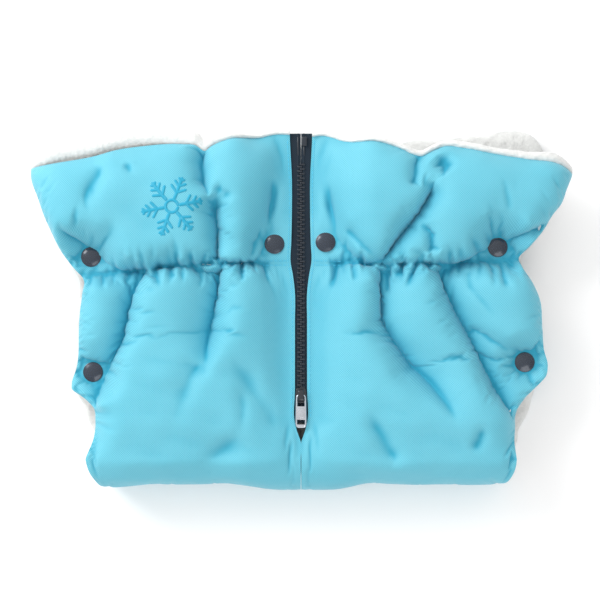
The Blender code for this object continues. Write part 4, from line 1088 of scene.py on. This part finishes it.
def joined(name, pieces):
    # several closed shapes as one object
    shape = bmesh.new()
    for piece in pieces:
        shape.from_mesh(piece.data)
        bpy.data.meshes.remove(piece.data)
    mesh = bpy.data.meshes.new(name)
    shape.to_mesh(mesh)
    shape.free()
    return place(name, mesh, 45)


def swept(path, radii, around, powers=(1, 1), sideways=None, closed=False):
    # rings (wide cos^p a, high sin^q a) across a path; their axes are the path's sideways and upward directions
    along = np.roll(path, -1, axis=0) - np.roll(path, 1, axis=0) if closed else np.gradient(path, axis=0)
    along /= np.linalg.norm(along, axis=1, keepdims=True)
    if sideways is None:
        sideways = np.cross(along, tilted)
        sideways /= np.linalg.norm(sideways, axis=1, keepdims=True)
    up = np.cross(sideways, along)
    angle = circle(around)[None, :, None]
    wide, high = (np.sign(wave) * np.abs(wave) ** power * radius
                  for wave, power, radius in zip((np.cos(angle), np.sin(angle)), powers, radii))
    points = path[:, None] + wide * np.atleast_2d(sideways)[:, None] + high * up[:, None]
    return reshaped(meshPiece("part", points, ringQuads(*points.shape[:2], closed)), False)


def makeZipHalf(side):
    # tape with its cord, the row of teeth, the pin and the end stop
    sign, body = sides[side], f"front_{side}"
    tape, tooth = zipLook["tape"], zipLook["tooth"]
    low, high = boxMm(f"zip_tape_{side}")
    origin = zipOrigin(low[1])
    along = np.linspace(0, (high[1] - low[1]) / tiltCos, 240)[:, None]
    across = sign * np.linspace(tape["inner"], tape["outer"], 16)[None, :]
    lift = tape["top"] + 0.06 * ripple(across, along, 81, 14)
    upper, lower = (onZip(across, along, lift - depth, origin) for depth in (0, tape["thickness"]))
    cloth = slabMesh("part", upper, lower, stacked(across, along), sign < 0)
    cordLine = onZip(sign * tape["cordAway"], along[:, 0], tape["top"] - 0.25, origin)
    cord = swept(cordLine, (tape["cord"], tape["cord"]), 10)
    dress(joined(f"zip_tape_woven_{side}", [cloth, cord]), "tape", "zip_tape", body, f"zip_tape_{side}")
    low, high = boxMm(f"zip_teeth_{side}")
    reach, root = tooth["reach"], tooth["root"]
    half = [(-reach, -0.52), (0.35 - reach, -0.75), (0.1, -0.62), (1.2, -0.72), (root, -0.72)]
    half = [(sign * a, b) for a, b in half]
    toothOutline = [*half, *[(a, -b) for a, b in half[::-1]]]
    bottom, top = (tooth["middle"] + part * tooth["thick"] / 2 for part in (-1, 1))
    one = blockMesh("part", toothOutline, bottom, top, 0.28, zipOrigin(low[1]), 2)
    first = tooth["first"] + (0 if side == "left" else tooth["pitch"] / 2)
    count = int(((high[1] - low[1]) / tiltCos - tooth["pitch"]) / tooth["pitch"])
    offsets = onZip(0, first + np.arange(count) * tooth["pitch"], 0, np.zeros(3))
    dress(repeated(f"teeth_{side}", one, offsets), "teeth", "zip_plastic", body, f"zip_teeth_{side}")
    straightBlock("zip_insertion_pin" if side == "left" else "zip_fixed_pin", 0.35, body)
    straightBlock(f"zip_end_stop_{side}", 0.5, body)


def straightBlock(node, bevel, body):
    # a rounded block in the zip frame that fills the node's own box
    low, high = boxMm(node)
    length = (high[1] - low[1]) / tiltCos
    thick = (high[2] - low[2]) - length * tiltSin
    wide = (high[0] - low[0]) / 2
    corners = mirrored([(wide, -length / 2), (wide, length / 2)])
    block = blockMesh(node + "_moulded", corners, -thick / 2, thick / 2, bevel, (low + high) / 2)
    dress(block, "teeth", "zip_plastic", body, node)


def makeSlider():
    # two plates joined by a wedge at the nose, flanges beside the teeth, and the crown that holds the tab
    look = zipLook["slider"]
    half, nose, tail = look["half"], look["nose"], look["tail"]
    (underHigh, faceHigh), underLow = look["plateHigh"], look["plateLow"][1]
    wide = mirrored([(half - 0.9, nose), (half, nose + 2.6), (half - 0.1, nose + 6), (half - 0.8, tail - 0.6),
                     (half - 1.3, tail)])
    parts = [blockMesh("part", wide, *heights, 0.3, tabPivot) for heights in (look["plateHigh"], look["plateLow"])]
    post = [(0, nose + 0.2), (1.0, nose + 1.6), (0, nose + 4.4), (-1.0, nose + 1.6)]
    parts.append(blockMesh("part", post, underLow - 0.2, underHigh + 0.2, 0.0, tabPivot))
    edgeLine = [(half - 0.75, nose + 1.2), (half, nose + 2.8), (half - 0.15, nose + 6), (half - 0.8, tail - 1),
                (half - 1.3, tail - 1), (half - 1.1, nose + 1.2)]
    for sign in (-1, 1):
        edgePoints = [(sign * a, b) for a, b in edgeLine]
        for low, high in ((underHigh - look["flange"], underHigh + 0.2), (underLow - 0.2, underLow + look["flange"])):
            parts.append(blockMesh("part", edgePoints, low, high, 0.12, tabPivot, 1))
    turn = np.linspace(0, math.pi, 25)
    reach, rise = look["crownLength"] / 2 - look["bar"] / 2, look["crownTop"] - look["bar"] / 2 - faceHigh
    shaped = np.sign(np.cos(turn)) * np.abs(np.cos(turn)) ** 0.45 * reach
    arch = onZip(0, shaped, faceHigh - 0.3 + (rise + 0.3) * np.sin(turn) ** 0.6, tabPivot)
    parts.append(swept(arch, (look["crownHalf"], look["bar"] / 2), 20, (0.5, 0.6), np.array([1.0, 0, 0])))
    dress(joined("slider_cast", parts), "slider", "slider_paint", "slider", "zip_slider")


def makeTab():
    # a wire frame, wider at its foot, with a plate, a raised shield and a low bar in it
    look = zipLook["tab"]
    bar, thick, length = look["bar"], look["thick"], look["length"]
    foot, inner, (high, low) = bar - length, look["neck"] - bar, look["plate"]
    turn = circle(96)
    # a rounded rectangle: cos and sin drawn out by a power below one
    boxX, boxY = (np.sign(wave) * np.abs(wave) ** 0.28 for wave in (np.cos(turn), np.sin(turn)))
    along = foot / 2 + boxY * (-foot / 2)
    width = look["neck"] - bar + (look["half"] - look["neck"]) * along / foot
    parts = [swept(onZip(boxX * width, along, 0, tabPivot), (bar, 0.55), 12, closed=True)]
    for outlinePoints, bottom, top, bevel in (
        ([(inner + 0.2, high), (inner + 0.4, low)], -thick, thick, 0.25),
        ([(inner - 0.9, high - 1.3), (inner - 0.7, low + 1.6)], 0, thick + 0.18, 0.16),
        ([(inner + 0.5, 2.6 - length), (inner + 0.2, 0.5 - length)], -thick, thick, 0.3),
    ):
        parts.append(blockMesh("part", mirrored(outlinePoints), bottom, top, bevel, tabPivot))
    dress(joined("pull_tab_stamped", parts), "tab", "tab_metal", "pull_tab", "zip_pull_tab")


for sideName in sides:
    makeZipHalf(sideName)
makeSlider()
makeTab()
straightBlock("zip_retainer_box", 0.55, "front_right")
print("zip made")

makeStitches()
makeSnowflake()
print("stitching and embroidery made")

stage = {"focusHeight": 37, "distance": 1250, "lens": 100, "aimX": -0.75, "aimY": 7.1, "floor": "#FAFAFA",
         "room": 0.82, "dark": 0.45, "bright": 1.35, "window": (-0.55, 0.5, 0.67),
         "paper": 3000, "paperHeight": -0.4}


def addLight(name, spot, target, size, power):
    # a square lamp of a size in metres at a place, turned to its target
    data = bpy.data.lights.new(name, "AREA")
    data.shape = "RECTANGLE"
    data.size, data.size_y = size, size
    data.energy = power
    light = bpy.data.objects.new(name, data)
    light.location = spot
    light.rotation_euler = (Vector(target) - Vector(spot)).to_track_quat("-Z", "Y").to_euler()
    bpy.context.scene.collection.objects.link(light)


def makeStage():
    # paper under the muff, a room that is brighter towards the window, two lamps and a camera from above
    size, low = stage["paper"], stage["paperHeight"]
    plane = np.array([(-size, -size, low), (size, -size, low), (size, size, low), (-size, size, low)])
    floor = meshPiece("floor", plane, np.array([[0, 1, 2, 3]]))
    material = newMaterial("matt_paper_backdrop", **{"Roughness": 0.9, "Specular IOR Level": 0.1})
    spot = addNode(material, "TexCoord", out="Object")
    mottle = addNode(material, "TexNoise", {"Vector": spot, "Scale": 8.0, "Detail": 2.0}, "Fac")
    floor.data.materials.append(surfaced(material, mottle, stage["floor"], "#FFFFFF", None, 0, 0))
    world = bpy.data.worlds.new("soft_room")
    world.use_nodes = True
    background = world.node_tree.nodes["Background"].inputs
    way = addNode(world, "TexCoord", out="Generated")
    facing = addNode(world, "VectorMath", {0: way, 1: stage["window"]}, "Value", operation="DOT_PRODUCT")
    ends = {"Value": facing, "From Min": -0.6, "To Min": stage["dark"], "To Max": stage["bright"]}
    world.node_tree.links.new(addNode(world, "MapRange", ends), background["Color"])
    background["Strength"].default_value = stage["room"]
    bpy.context.scene.world = world
    addLight("key", (-1.15, 1.0, 0.95), (0, 0, 0.03), 0.9, 20)
    addLight("fill", (0.5, -1.2, 1.4), (0, 0, 0), 1.2, 9)
    data = bpy.data.cameras.new("camera")
    data.lens = stage["lens"]
    data.sensor_width = 36
    camera = bpy.data.objects.new("camera", data)
    camera.location = (stage["aimX"] * mm, stage["aimY"] * mm, (stage["focusHeight"] + stage["distance"]) * mm)
    bpy.context.scene.collection.objects.link(camera)
    bpy.context.scene.camera = camera
    bpy.context.scene.view_settings.view_transform = "Standard"


makeStage()
print("stage made")
